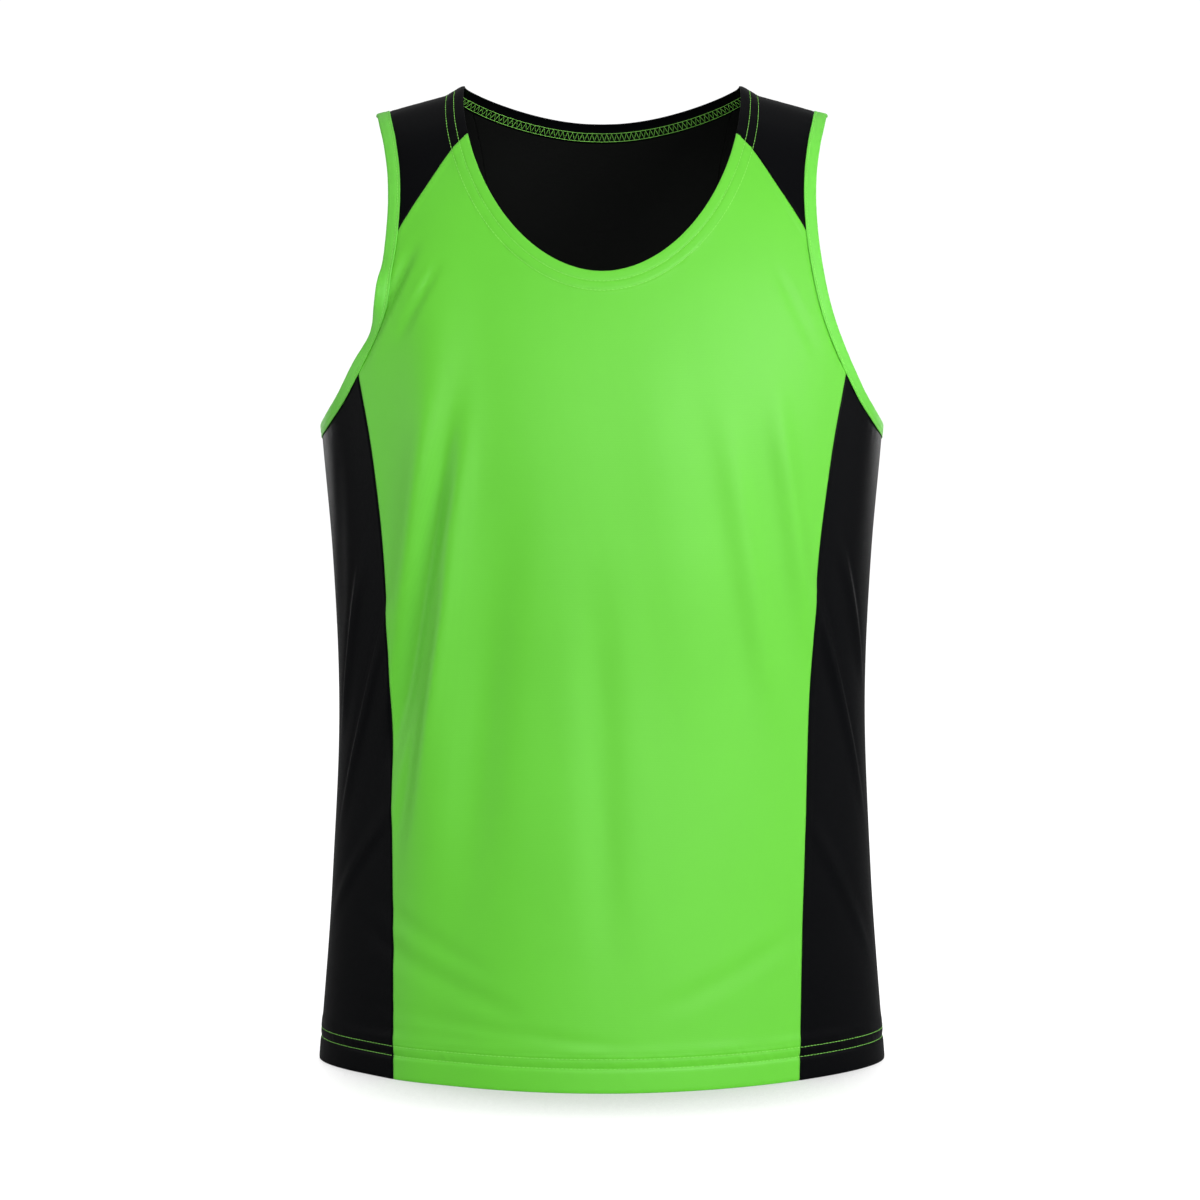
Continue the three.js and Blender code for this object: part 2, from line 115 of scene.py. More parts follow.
# Folds in the hanging cloth. On the front and back `across` is the distance from the centre
# line; on the sides it is the distance round from the side line, towards the front. `lean` tips
# a fold from upright (degrees, positive towards +`across` at the top), `width` is its reach to
# either side, `depth` is how far its trough sinks (a negative one is a raised crease), `bow` is
# how far its ends bend towards +`across`, and `soft` is how many times wider it dies away on its
# +`across` side than on the other.
Fold = namedtuple("Fold", "side across below lean length width depth bow soft", defaults=(0.0, 1))
FOLDS = (
    Fold("front", -0.1200, 0.355, 9.2, 0.215, 0.0125, 0.0094),
    Fold("front", -0.1215, 0.435, 9.2, 0.180, 0.0075, 0.0030),
    Fold("front", -0.1140, 0.360, 0, 0.420, 0.0280, -0.0050),
    Fold("front", -0.1330, 0.570, 0, 0.340, 0.0260, -0.0022),
    Fold("front", -0.0790, 0.435, 7, 0.260, 0.0220, 0.0019),
    Fold("front", 0.0000, 0.480, -2, 0.240, 0.0180, 0.0022),
    Fold("front", 0.0985, 0.345, -9.7, 0.190, 0.0125, -0.0021),
    Fold("front", 0.1300, 0.318, -8.6, 0.160, 0.0110, -0.0030),
    Fold("front", 0.0480, 0.330, -8, 0.240, 0.0260, -0.0012),
    Fold("front", -0.1135, 0.596, -60, 0.080, 0.0080, 0.0006, 0.002),
    Fold("front", -0.1056, 0.622, -65, 0.110, 0.0090, 0.0008, 0.003),
    Fold("front", -0.0700, 0.652, -84, 0.150, 0.0055, 0.0005),
    Fold("front", 0.0865, 0.617, 64, 0.100, 0.0090, 0.0005, -0.003),
    Fold("front", -0.1230, 0.165, 29, 0.050, 0.0050, 0.0016),
    Fold("front", -0.1460, 0.165, 27, 0.075, 0.0060, 0.0028),
    Fold("front", 0.1320, 0.172, -26, 0.060, 0.0055, 0.0006),
    Fold("back", -0.1120, 0.380, -12, 0.220, 0.0240, 0.0050),
    Fold("back", 0.1080, 0.400, 14, 0.200, 0.0220, 0.0050),
    Fold("back", 0.0000, 0.420, 0, 0.180, 0.0300, 0.0040),
    Fold("back", -0.0500, 0.300, 10, 0.200, 0.0130, 0.0016, 0.004),
    Fold("back", 0.0620, 0.260, -12, 0.160, 0.0120, 0.0014, -0.003),
    Fold("back", -0.1300, 0.190, 26, 0.090, 0.0070, 0.0012, 0.003),
    Fold("back", 0.1340, 0.180, -24, 0.080, 0.0070, 0.0012, -0.003),
    Fold("back", 0.0900, 0.615, 66, 0.120, 0.0090, 0.0014, 0.004),
    Fold("back", -0.0950, 0.630, -70, 0.100, 0.0085, 0.0012, 0.003),
    Fold("left", 0.0655, 0.437, 21, 0.150, 0.0040, -0.0016, soft=2),
    Fold("left", 0.0475, 0.397, 18, 0.110, 0.0042, -0.0017, soft=2),
    Fold("left", 0.0620, 0.545, 39, 0.100, 0.0075, -0.0008),
    Fold("left", 0.0450, 0.320, 8, 0.120, 0.0110, 0.0005),
    Fold("left", -0.0250, 0.450, -8, 0.260, 0.0120, 0.0020),
    Fold("left", -0.0600, 0.370, 6, 0.180, 0.0090, -0.0014),
    Fold("right", 0.0640, 0.430, 21.5, 0.150, 0.0040, -0.0016, soft=2),
    Fold("right", 0.0500, 0.374, 24, 0.090, 0.0042, -0.0016, soft=2),
    Fold("right", 0.0660, 0.565, 30, 0.100, 0.0075, -0.0007),
    Fold("right", -0.0220, 0.420, -6, 0.240, 0.0120, 0.0020),
    Fold("right", -0.0640, 0.400, 8, 0.200, 0.0090, -0.0014),
)


# ---- Settings a user would change -----------------------------------------------------------


def length_setting(name, description, default):
    return bpy.props.FloatProperty(
        name=name, description=description, default=default, precision=5, unit="LENGTH"
    )


def number_setting(name, description, default):
    return bpy.props.FloatProperty(name=name, description=description, default=default, precision=4)


def colour_setting(name, description, default):
    return bpy.props.FloatVectorProperty(
        name=name, description=description, default=default, size=3, min=0, max=1, subtype="COLOR"
    )


class SingletCut(bpy.types.PropertyGroup):
    """Sizes of the cut pieces"""

    cloth: length_setting("Cloth", "Thickness of the knit", 0.55 * MM)
    binding_cloth: length_setting("Binding cloth", "Thickness of the binding's knit", 0.5 * MM)
    neck_half_width: length_setting("Neck half width", "Centre to the shoulder point", 0.098)
    neck_front_drop: length_setting("Front neck drop", "Depth of the front neck", 0.147)
    neck_back_drop: length_setting("Back neck drop", "Depth of the back neck", 0.015)
    neck_stand: length_setting("Neck stand", "Rise of the neck edge over the shoulder", 0.0032)
    neck_stand_width: length_setting("Neck stand width", "Width of that rise", 0.014)
    ridge_half_width: length_setting("Shoulder half width", "Centre to the binding", 0.1533)
    ridge_softness: length_setting("Shoulder softness", "Rounds the slope off at the centre", 0.045)
    neck_front_power: number_setting("Front neck curve", "2 is an ellipse", 1.94)
    neck_back_power: number_setting("Back neck curve", "Fullness of the back neck", 1.2)
    side_drop: length_setting("Side drop", "Depth of the armhole at the side", 0.250)
    hem_half_width: length_setting("Hem half width", "Centre to the side seam at the hem", 0.1375)
    hem_twist: length_setting("Hem twist", "Sideways drift of the knit at the hem", -0.0049)
    side_radius: length_setting("Side radius", "Cloth round the side for each radian", 0.130)
    fold_fade: number_setting("Fold fade", "How near the side the body folds die away", 0.35)


class SingletSewing(bpy.types.PropertyGroup):
    """Sizes of the hems, the binding and the stitches"""

    hem_turning: length_setting("Hem turning", "Depth of the turned hem", 0.024)
    neck_turning: length_setting("Neck turning", "Depth of the turned neck edge", 0.0145)
    fold_room: length_setting("Fold room", "Room left inside a turned edge", 0.1 * MM)
    edge_line: length_setting("Neck line", "Neck edge to the first row of stitches", 0.0067)
    hem_line: length_setting("Hem line", "Hem edge to the first row of stitches", 0.0155)
    gauge: length_setting("Gauge", "Space between the two needles", 0.0064)
    pitch: length_setting("Stitch pitch", "Length of one stitch", 0.0029)
    thread: length_setting("Thread", "Thickness of the sewing thread", 0.42 * MM)
    looper_pitch: length_setting("Looper pitch", "One loop of the cover stitch", 0.0036)
    binding_width: length_setting("Binding width", "Finished width of the armhole binding", 0.0085)
    binding_line: length_setting("Binding line", "Panels' edge to its stitches", 0.75 * MM)
    binding_pitch: length_setting("Binding pitch", "Length of one binding stitch", 0.0025)


class SingletFinish(bpy.types.PropertyGroup):
    """Colours and knit of the cloth"""

    green: colour_setting("Green", "Knit of the front panel", (0.112, 0.550, 0.022))
    black: colour_setting("Black", "Knit of the other panels", (0.0020, 0.0022, 0.0028))
    inside: colour_setting("Inside", "Wrong side of the black knit", (0.0065, 0.0068, 0.0066))
    binding: colour_setting("Binding", "Rib of the armhole binding", (0.130, 0.590, 0.045))
    thread: colour_setting("Thread", "Sewing thread", (0.260, 0.740, 0.110))
    wale: length_setting("Wale", "Width of one column of knit stitches", 0.0014)
    course: length_setting("Course", "Height of one row of knit stitches", 0.0011)


class SingletStudio(bpy.types.PropertyGroup):
    """Camera, lamps and floor"""

    camera_distance: length_setting("Camera distance", "From the middle plane", 1.65)
    camera_side: length_setting("Camera side", "Sideways from the middle", -0.0014)
    camera_height: length_setting("Camera height", "From the shoulder line", -0.366)
    lens: number_setting("Lens", "Focal length in millimetres on a 36 mm sensor", 69.3)
    floor_gap: length_setting("Floor gap", "Floor below the hem", 0.0004)
    floor_size: length_setting("Floor size", "Half the side of the floor", 30.0)
    room_light: number_setting("Room light", "Strength of the even white surroundings", 0.33)
    room_seen: number_setting("Room seen", "Strength of those surroundings as seen", 1.05)
    key_light: number_setting("Key light", "Watts of the soft lamp, front right", 32.5)
    front_light: number_setting("Front light", "Watts of the soft lamp in front", 15.5)
    edge_light: number_setting("Edge light", "Watts of the soft lamp at the left", 10.0)
    side_light: number_setting("Side light", "Watts of the soft lamp at the right", 7.0)
    rim_light: number_setting("Rim light", "Watts of each narrow lamp behind", 2.4)
    top_light: number_setting("Top light", "Strength of the soft lamp overhead", 0.6)
    lamp_distance: length_setting("Lamp distance", "From the middle of the singlet", 2.2)
    lamp_size: length_setting("Lamp size", "Width of each soft lamp", 1.2)
    rim_size: length_setting("Rim lamp size", "Width of each lamp behind", 0.5)
    floor_white: number_setting("Floor white", "Reflectance of the floor as seen", 0.35)
    floor_glow: number_setting("Floor glow", "Light of its own that the floor shows", 0.98)
    contact_share: number_setting("Contact share", "Part of that glow left at the hem", 0.36)
    contact_reach: length_setting("Contact reach", "How far from the hem the floor is shaded", 0.16)
    floor_bounce: number_setting("Floor bounce", "Reflectance as it lights the cloth", 0.45)


SETTINGS = {
    "singlet_cut": SingletCut,
    "singlet_sewing": SingletSewing,
    "singlet_finish": SingletFinish,
    "singlet_studio": SingletStudio,
}


# ---- Smooth curves and small measures -------------------------------------------------------


def smooth_step(value):
    share = np.clip(value, 0, 1)
    return share * share * (3 - 2 * share)


def curve_through(places, values):
    """A cubic curve that passes through every value, read at any place."""
    places = np.asarray(places, float)
    values = np.asarray(values, float)
    gaps = np.diff(places)
    rises = np.diff(values) / gaps
    slopes = np.empty_like(values)
    slopes[0], slopes[-1] = rises[0], rises[-1]
    slopes[1:-1] = (rises[:-1] * gaps[1:] + rises[1:] * gaps[:-1]) / (gaps[:-1] + gaps[1:])

    def read(at):
        row = np.clip(np.searchsorted(places, at) - 1, 0, len(places) - 2)
        share = (at - places[row]) / gaps[row]
        lead = slopes[row] * gaps[row]
        tail = slopes[row + 1] * gaps[row]
        turn = share * share * (3 - 2 * share)
        bend = share * (1 - share) * (lead * (1 - share) - tail * share)
        return values[row] + (values[row + 1] - values[row]) * turn + bend

    return read


def spaced(*spans):
    """Places along a line, from (length, step) spans laid end to end."""
    places = [0.0]
    for length, step in spans:
        count = max(1, math.ceil(length / step - 1e-6))
        start = places[-1]
        places.extend(start + length * (k + 1) / count for k in range(count))
    return np.array(places)


def unit(vectors):
    return vectors / np.maximum(np.linalg.norm(vectors, axis=-1, keepdims=True), 1e-12)


def dots(first, second):
    """Dot product of each pair of rows."""
    return np.einsum("ij,ij->i", first, second)


def run_length(points):
    """Distance along a line of points, from its start to each point."""
    steps = np.linalg.norm(np.diff(points, axis=0), axis=1)
    return np.concatenate([[0.0], np.cumsum(steps)])


def nearest(points, line):
    """Distance from each point to a line of points, and how far along the line that is."""
    along = run_length(line)
    best = np.full(len(points), np.inf)
    place = np.zeros(len(points))
    for k in range(len(line) - 1):
        edge = line[k + 1] - line[k]
        size = edge @ edge
        if size < 1e-14:
            continue
        share = np.clip((points - line[k]) @ edge / size, 0, 1)
        gap = points - line[k] - share[:, None] * edge
        square = dots(gap, gap)
        closer = square < best
        best = np.where(closer, square, best)
        place = np.where(closer, along[k] + share * (along[k + 1] - along[k]), place)
    return np.sqrt(best), place


def ripple(place, lengths, seed):
    """A smooth uneven wave along a seam, from -1 to 1, made of a few lengths of wave."""
    waves = [
        np.sin(2 * math.pi * place / length + seed * (k + 1.7) * 2.4)
        for k, length in enumerate(lengths)
    ]
    return sum(waves) / len(waves)


def dip(distance, centre, width):
    """A soft hump of height 1 at `centre`, which dies away over `width`."""
    return np.exp(-(((distance - centre) / width) ** 2))


# ---- The filled form and the lines on it ----------------------------------------------------

DENSE = 241  # marks along a seam line; every third or fourth of them still ends on its last mark


class Form:
    """The form that the cloth lies on.

    A mark on the cloth is its angle round the body (0 at centre front, a quarter turn at the +X
    side) and its distance along the cloth from the shoulder line.
    """

    def __init__(self, cut):
        self.cut = cut
        crown = LEVELS[1]
        over_the_ridge = crown._replace(front=-crown.front, back=-crown.back)
        steps = [math.hypot(b.below - a.below, b.front - a.front) for a, b in zip(LEVELS, LEVELS[1:])]
        places = np.concatenate([[0.0], np.cumsum(steps)])
        rows = (over_the_ridge,) + LEVELS
        spread = np.concatenate([[-places[1]], places])
        self.columns = {
            key: curve_through(spread, [getattr(row, key) for row in rows])
            for key in Level._fields[1:]
        }
        self.hem = places[-1]
        self.twist_start = places[[level.name for level in LEVELS].index("bust")]

    def level(self, along):
        return {key: read(along) for key, read in self.columns.items()}

    def height(self, level, x):
        cut = self.cut
        soft = np.hypot(x, cut.ridge_softness)
        fall = level["slope"] * (soft - math.hypot(cut.neck_half_width, cut.ridge_softness))
        past_neck = (np.abs(x) - cut.neck_half_width) / cut.neck_stand_width
        steepness = (level["slope"] / LEVELS[0].slope) ** 4
        return -level["below"] - fall - cut.neck_stand * smooth_step(past_neck) * steepness

    def body(self, angle, along):
        level = self.level(along)
        across = np.sin(angle)
        facing = np.cos(angle)
        reach = np.where(facing > 0, level["front"], level["back"])
        x = level["half_width"] * across
        y = -reach * facing * (1 + level["full"] * across * across)
        return np.stack([x, y, self.height(level, x)], axis=-1)

    def normal_of(self, surface, angle, along):
        turn, step = 0.002, 0.4 * MM
        across = surface(angle + turn, along) - surface(angle - turn, along)
        down = surface(angle, along + step) - surface(angle, along - step)
        return unit(np.cross(down, across))

    def fold_height(self, fold, across, below):
        lean = math.radians(fold.lean)
        aside = across - fold.across
        up = fold.below - below
        lengthwise = up * math.cos(lean) + aside * math.sin(lean)
        stretch = (2 * lengthwise / fold.length) ** 2
        crosswise = aside * math.cos(lean) - up * math.sin(lean) - fold.bow * stretch
        reach = fold.width * np.where(crosswise > 0, fold.soft, 1)
        spread = (crosswise / reach) ** 2
        return -fold.depth * (1 - 1.2 * spread) * np.exp(-spread) * np.exp(-(stretch**2))

    def folds(self, point, angle):
        facing = np.cos(angle)
        fade = smooth_step(np.abs(facing) / self.cut.fold_fade)
        round_side = (SIDE - np.arccos(np.clip(facing, -1, 1))) * self.cut.side_radius
        here = {
            "front": np.where(facing > 0, fade, 0),
            "back": np.where(facing > 0, 0, fade),
            "right": np.where(np.sin(angle) > 0, 1.0, 0.0),
            "left": np.where(np.sin(angle) > 0, 0.0, 1.0),
        }
        total = np.zeros_like(facing)
        for fold in FOLDS:
            across = point[..., 0] if fold.side in ("front", "back") else round_side
            total += here[fold.side] * self.fold_height(fold, across, -point[..., 2])
        return total

    def twist(self, along):
        share = np.maximum(0, (along - self.twist_start) / (self.hem - self.twist_start))
        return self.cut.hem_twist / LEVELS[-1].half_width * share

    def cloth(self, angle, along):
        """Outer face of the cloth."""
        turned = angle + self.twist(along)
        point = self.body(turned, along)
        normal = self.normal_of(self.body, turned, along)
        return point + normal * self.folds(point, turned)[..., None]

    def points(self, marks):
        return self.cloth(marks[..., 0], marks[..., 1])

    def normals(self, marks):
        return self.normal_of(self.cloth, marks[..., 0], marks[..., 1])

    def girth(self, start, marks):
        """Cloth round the body at each mark's level, from the angle `start` to the mark."""
        angle, along = marks[..., 0], marks[..., 1]
        level = self.level(along)
        half = (angle - start) / 2
        total = np.zeros_like(angle)
        for node, weight in zip(*np.polynomial.legendre.leggauss(8)):
            here = start + half * (1 + node)
            across, facing = np.sin(here), np.cos(here)
            reach = np.where(facing > 0, level["front"], level["back"])
            full = level["full"]
            sideways = level["half_width"] * facing
            inwards = reach * across * (1 + full * across**2 - 2 * full * facing**2)
            total += weight * np.hypot(sideways, inwards)
        return half * total

    # -- marks --

    def mark_on(self, side, x, along):
        half_width = self.level(along)["half_width"]
        angle = np.arcsin(np.clip(x / half_width, -1, 1))
        return np.stack([angle if side == "front" else HALF_TURN - angle, along + 0 * angle], axis=-1)

    def mark_at(self, side, x, below):
        """The mark seen at x and height -below from the front or from the back."""
        x, below = np.broadcast_arrays(np.asarray(x, float), np.asarray(below, float))
        low, high = np.zeros(x.shape), np.full(x.shape, self.hem)
        for _ in range(24):
            middle = (low + high) / 2
            under = self.height(self.level(middle), x) > -below
            low = np.where(under, middle, low)
            high = np.where(under, high, middle)
        return self.mark_on(side, x, (low + high) / 2)

    def marks_from(self, side, rows):
        return self.mark_at(side, [r.half_width for r in rows], [r.below for r in rows])

    def smooth_line(self, marks, first=0, last=None):
        """A smooth line through marks, read evenly between two of them."""
        at = run_length(self.body(marks[:, 0], marks[:, 1]))
        last = len(marks) - 1 if last is None else last
        places = np.linspace(at[first], at[last], DENSE)
        return np.stack([curve_through(at, marks[:, k])(places) for k in (0, 1)], axis=-1)

    def length(self, line):
        return run_length(self.body(line[:, 0], line[:, 1]))[-1]

    def read(self, line, shares):
        """Marks at shares of the length of a line."""
        at = run_length(self.body(line[:, 0], line[:, 1]))
        return np.stack([np.interp(shares * at[-1], at, line[:, k]) for k in (0, 1)], axis=-1)

    def inset(self, marks, distances, towards, loop=False):
        """Lines at growing distances from an edge; `towards` is 1 to move left of its run."""
        lines, here, done = [], marks.copy(), 0.0
        for distance in distances:
            count = max(1, math.ceil((distance - done) / (1.2 * MM)))
            for _ in range(count):
                here = self.moved(here, towards * (distance - done) / count, loop)
            lines.append(here)
            done = distance
        return np.array(lines)

    def sideways(self, marks, loop=False):
        """Unit direction square to a line of marks, in the cloth."""
        points, normals = self.points(marks), self.normals(marks)
        if loop:
            run = np.roll(points, -1, axis=0) - np.roll(points, 1, axis=0)
        else:
            run = np.gradient(points, axis=0)
        return unit(np.cross(normals, run))

    def moved(self, marks, distance, loop):
        """Each mark shifted sideways by a distance along the cloth."""
        wanted = self.sideways(marks, loop) * distance
        turn, step = 0.002, 0.4 * MM
        angle, along = marks[:, 0], marks[:, 1]
        across = (self.cloth(angle + turn, along) - self.cloth(angle - turn, along)) / (2 * turn)
        down = (self.cloth(angle, along + step) - self.cloth(angle, along - step)) / (2 * step)
        wide, mixed, tall = dots(across, across), dots(across, down), dots(down, down)
        aside, below = dots(wanted, across), dots(wanted, down)
        base = wide * tall - mixed * mixed
        turned = (aside * tall - below * mixed) / base
        slid = (below * wide - aside * mixed) / base
        return marks + np.stack([turned, slid], axis=-1)


def backwards(line):
    return line[::-1]


def closed(line):
    return np.concatenate([line, line[:1]])


def joined(*lines):
    return np.concatenate([lines[0]] + [line[1:] for line in lines[1:]])


def other_side(line):
    return line * (-1, 1)


def past_centre_back(line):
    return line * (-1, 1) + (2 * HALF_TURN, 0)


def seam_lines(form):
    """Every seam and edge of the +X half."""
    cut = form.cut
    seam_turn = math.asin((SHOULDER_SEAM[0].below / cut.neck_front_drop) ** (cut.neck_front_power / 2))

    def neck_front(turns):
        power = 2 / cut.neck_front_power
        x = cut.neck_half_width * np.maximum(0, np.cos(turns)) ** power
        return form.mark_at("front", x, cut.neck_front_drop * np.sin(turns) ** power)

    def neck_back(shares):
        below = cut.neck_back_drop * (1 - shares**2) ** cut.neck_back_power
        return form.mark_at("back", cut.neck_half_width * shares, below)

    def ridge(side):
        x = np.array([cut.neck_half_width, cut.ridge_half_width])
        return form.smooth_line(form.mark_on(side, x, np.zeros(2)))

    def corner(side, x):
        return form.mark_on(side, np.array([x]), np.zeros(1))

    down = form.marks_from("front", ARMHOLE)
    up = form.marks_from("back", ARMHOLE[::-1])
    under = np.array([[SIDE, form.mark_at("front", 0, cut.side_drop)[1]]])
    ends = corner("front", cut.ridge_half_width), corner("back", cut.ridge_half_width)
    arm = np.concatenate([ends[0], down, under, up, ends[1]])
    names = [place.name for place in ARMHOLE]
    shoulder_end = 1 + names.index("shoulder seam")
    side_end = 1 + names.index("side seam")
    side_end_behind = len(arm) - 1 - side_end

    def side_seam(side, top):
        hem = form.mark_on(side, np.array([cut.hem_half_width]), np.array([form.hem]))
        marks = np.concatenate([hem, form.marks_from(side, SIDE_SEAM[::-1]), arm[top : top + 1]])
        return form.smooth_line(marks)

    shoulder = np.concatenate([
        neck_front(np.array([seam_turn])),
        form.marks_from("front", SHOULDER_SEAM[1:]),
        arm[shoulder_end : shoulder_end + 1],
    ])
    shares = np.linspace(1, 0, 17)
    beside = neck_front(seam_turn * shares**2)
    beside[-1] = corner("front", cut.neck_half_width)[0]
    behind = neck_back(1 - shares**2)
    behind[-1] = corner("back", cut.neck_half_width)[0]
    return {
        "arm_shoulder": form.smooth_line(arm, 0, shoulder_end),
        "arm_front": form.smooth_line(arm, shoulder_end, side_end),
        "arm_under": form.smooth_line(arm, side_end, side_end_behind),
        "arm_back": form.smooth_line(arm, side_end_behind),
        "shoulder_seam": form.smooth_line(shoulder),
        "side_front": side_seam("front", side_end),
        "side_back": side_seam("back", side_end_behind),
        "ridge_front": ridge("front"),
        "ridge_back": ridge("back"),
        "neck_shoulder": form.smooth_line(beside),
        "neck_front": form.smooth_line(neck_front(np.linspace(SIDE, seam_turn, 17))),
        "neck_back": form.smooth_line(behind),
    }


class Pattern:
    """The form, its seam lines, and the loops that the stitches follow."""

    def __init__(self, cut, sewing):
        self.form = form = Form(cut)
        self.sewing = sewing
        self.cloth = cut.cloth
        self.lines = lines = seam_lines(form)
        front, back, shoulder = (lines["neck_" + key][::4] for key in ("front", "back", "shoulder"))
        right_half = np.concatenate([front[:-1], shoulder, backwards(back)[1:]])
        left_half = np.concatenate([past_centre_back(back)[1:-1], other_side(backwards(shoulder))])
        self.neck = np.concatenate([right_half, left_half, other_side(backwards(front))[1:-1]])
        arm = [lines[key][::3] for key in ("arm_shoulder", "arm_front", "arm_under", "arm_back")]
        arm = joined(*arm)[:-1]
        self.arms = {"right": arm, "left": other_side(backwards(arm))}
        seams = ("side_front", "side_back", "shoulder_seam", "ridge_front")
        self.seams = [form.points(lines[key][::4]) for key in seams]
        self.seams += [form.points(other_side(lines[key][::4])) for key in seams]
        self.neck_edge = form.points(closed(self.neck))
        self.arm_edges = [form.points(closed(line)) for line in (arm, other_side(arm))]

    def relief(self, marks, points):
        """How far sewing lifts or sinks the face of the cloth."""
        flat, place = points.reshape(-1, 3), marks.reshape(-1, 2)
        height = self.hem_relief(self.form.hem - place[:, 1], place[:, 0])
        height += self.neck_relief(flat)
        for line in self.seams:
            near = np.abs(flat - line.mean(axis=0)).max(axis=1) < np.ptp(line, axis=0).max() / 2 + 0.02
            height[near] += self.seam_relief(*nearest(flat[near], line))
        for line in self.arm_edges:
            near = np.abs(flat[:, 0] - line[:, 0].mean()) < 0.08
            height[near] += self.arm_relief(*nearest(flat[near], line))
        return height.reshape(points.shape[:-1])

    def seam_relief(self, distance, run):
        groove = -0.55 * MM * dip(distance, 0, 0.7 * MM)
        allowance = 0.22 * MM * smooth_step((6.5 * MM - distance) / (3 * MM))
        allowance = allowance * smooth_step(distance / MM)
        uneven = ripple(run, (0.009, 0.014, 0.023), 3.1)
        pull = 0.10 * MM * uneven * dip(distance, 2.5 * MM, 3 * MM)
        return groove + allowance + pull

    def neck_relief(self, points):
        sewing = self.sewing
        near = (np.abs(points[:, 0]) < 0.13) & (points[:, 2] > -0.18)
        height = np.zeros(len(points))
        distance, run = nearest(points[near], self.neck_edge)
        first, second = sewing.edge_line, sewing.edge_line + sewing.gauge
        band = 0.35 * MM * smooth_step((sewing.neck_turning + MM - distance) / (2 * MM))
        roll = -0.25 * MM * dip(distance, 0, 0.8 * MM)
        lines = -0.30 * MM * dip(distance, first, 0.7 * MM) - 0.42 * MM * dip(distance, second, 0.9 * MM)
        uneven = ripple(run, (0.006, 0.0094, 0.017), 1.3)
        pull = 0.12 * MM * uneven * dip(distance, (first + second) / 2, 4 * MM)
        height[near] = band + roll + lines + pull
        return height

    def hem_relief(self, rise, angle):
        sewing = self.sewing
        first, second = sewing.hem_line, sewing.hem_line + sewing.gauge
        run = angle * LEVELS[-1].half_width
        band = 0.30 * MM * smooth_step((sewing.hem_turning + 1.5 * MM - rise) / (3 * MM))
        roll = -0.25 * MM * dip(rise, 0, 0.9 * MM)
        lines = -0.45 * MM * dip(rise, first, 0.8 * MM) - 0.30 * MM * dip(rise, second, 0.8 * MM)
        between = -0.45 * MM * dip(rise, first + 0.8 * MM, 2.2 * MM)
        uneven = 1 + 0.5 * ripple(run, (0.05, 0.083), 2.2)
        above = 0.45 * MM * dip(rise, second + 4.5 * MM, 3.5 * MM) * uneven
        lean = run + 0.8 * rise
        pull = 0.15 * MM * ripple(lean, (0.007, 0.011, 0.019), 0.7) * dip(rise, first + 4 * MM, 6 * MM)
        return band + roll + lines + between + above + pull

    def arm_relief(self, distance, run):
        groove = -0.30 * MM * dip(distance, 1.2 * MM, 1.4 * MM)
        pull = 0.14 * MM * ripple(run, (0.008, 0.013, 0.021), 4.4) * dip(distance, 4 * MM, 5 * MM)
        return groove + pull

    def face(self, marks):
        """Points and normals of the sewn cloth's outer face."""
        points = self.form.points(marks)
        normals = self.form.normals(marks)
        return points + normals * self.relief(marks, points)[..., None], normals


# ---- The cut pieces -------------------------------------------------------------------------

Edges = namedtuple("Edges", "bottom top left right")


def half_hem(form, side, corner):
    """The hem from the centre line to the corner of the panel."""
    middle = form.mark_on(side, np.zeros(1), np.array([form.hem]))
    return form.smooth_line(np.concatenate([middle, corner]))


def front_edges(pattern):
    lines, form = pattern.lines, pattern.form
    right = joined(lines["side_front"], backwards(lines["arm_front"]))
    half_top = joined(lines["neck_front"], lines["shoulder_seam"])
    hem = half_hem(form, "front", right[:1])
    return Edges(
        joined(other_side(backwards(hem)), hem),
        joined(other_side(backwards(half_top)), half_top),
        other_side(right),
        right,
    )


def back_edges(pattern):
    lines, form = pattern.lines, pattern.form
    left = joined(lines["side_back"], lines["arm_back"])
    half_top = joined(lines["neck_back"], lines["ridge_back"])
    hem = half_hem(form, "back", left[:1])
    return Edges(
        joined(backwards(hem), past_centre_back(hem)),
        joined(backwards(half_top), past_centre_back(half_top)),
        left,
        past_centre_back(left),
    )


def side_edges(pattern):
    lines, form = pattern.lines, pattern.form
    left, right = lines["side_front"], lines["side_back"]
    hem = form.smooth_line(np.stack([left[0], right[0]]))
    return Edges(hem, lines["arm_under"], left, right)


def shoulder_edges(pattern):
    lines = pattern.lines
    return Edges(
        lines["shoulder_seam"],
        lines["ridge_front"],
        lines["neck_shoulder"],
        backwards(lines["arm_shoulder"]),
    )


def other_edges(edges):
    return Edges(
        other_side(backwards(edges.bottom)),
        other_side(backwards(edges.top)),
        other_side(edges.right),
        other_side(edges.left),
    )


def net_between(form, edges, columns, rows, level_zone):
    """Marks between four edges; `columns` and `rows` are shares of the top and left edges."""
    climb = np.maximum(0, rows - level_zone) / (1 - level_zone)
    climb = climb[:, None, None]
    share = columns[None, :, None]
    bottom, top = form.read(edges.bottom, columns)[None], form.read(edges.top, columns)[None]
    left, right = form.read(edges.left, rows)[:, None], form.read(edges.right, rows)[:, None]
    upright = (1 - climb) * bottom + climb * top
    level = (1 - share) * left + share * right
    low = (1 - share) * edges.bottom[0] + share * edges.bottom[-1]
    high = (1 - share) * edges.top[0] + share * edges.top[-1]
    return upright + level - (1 - climb) * low - climb * high


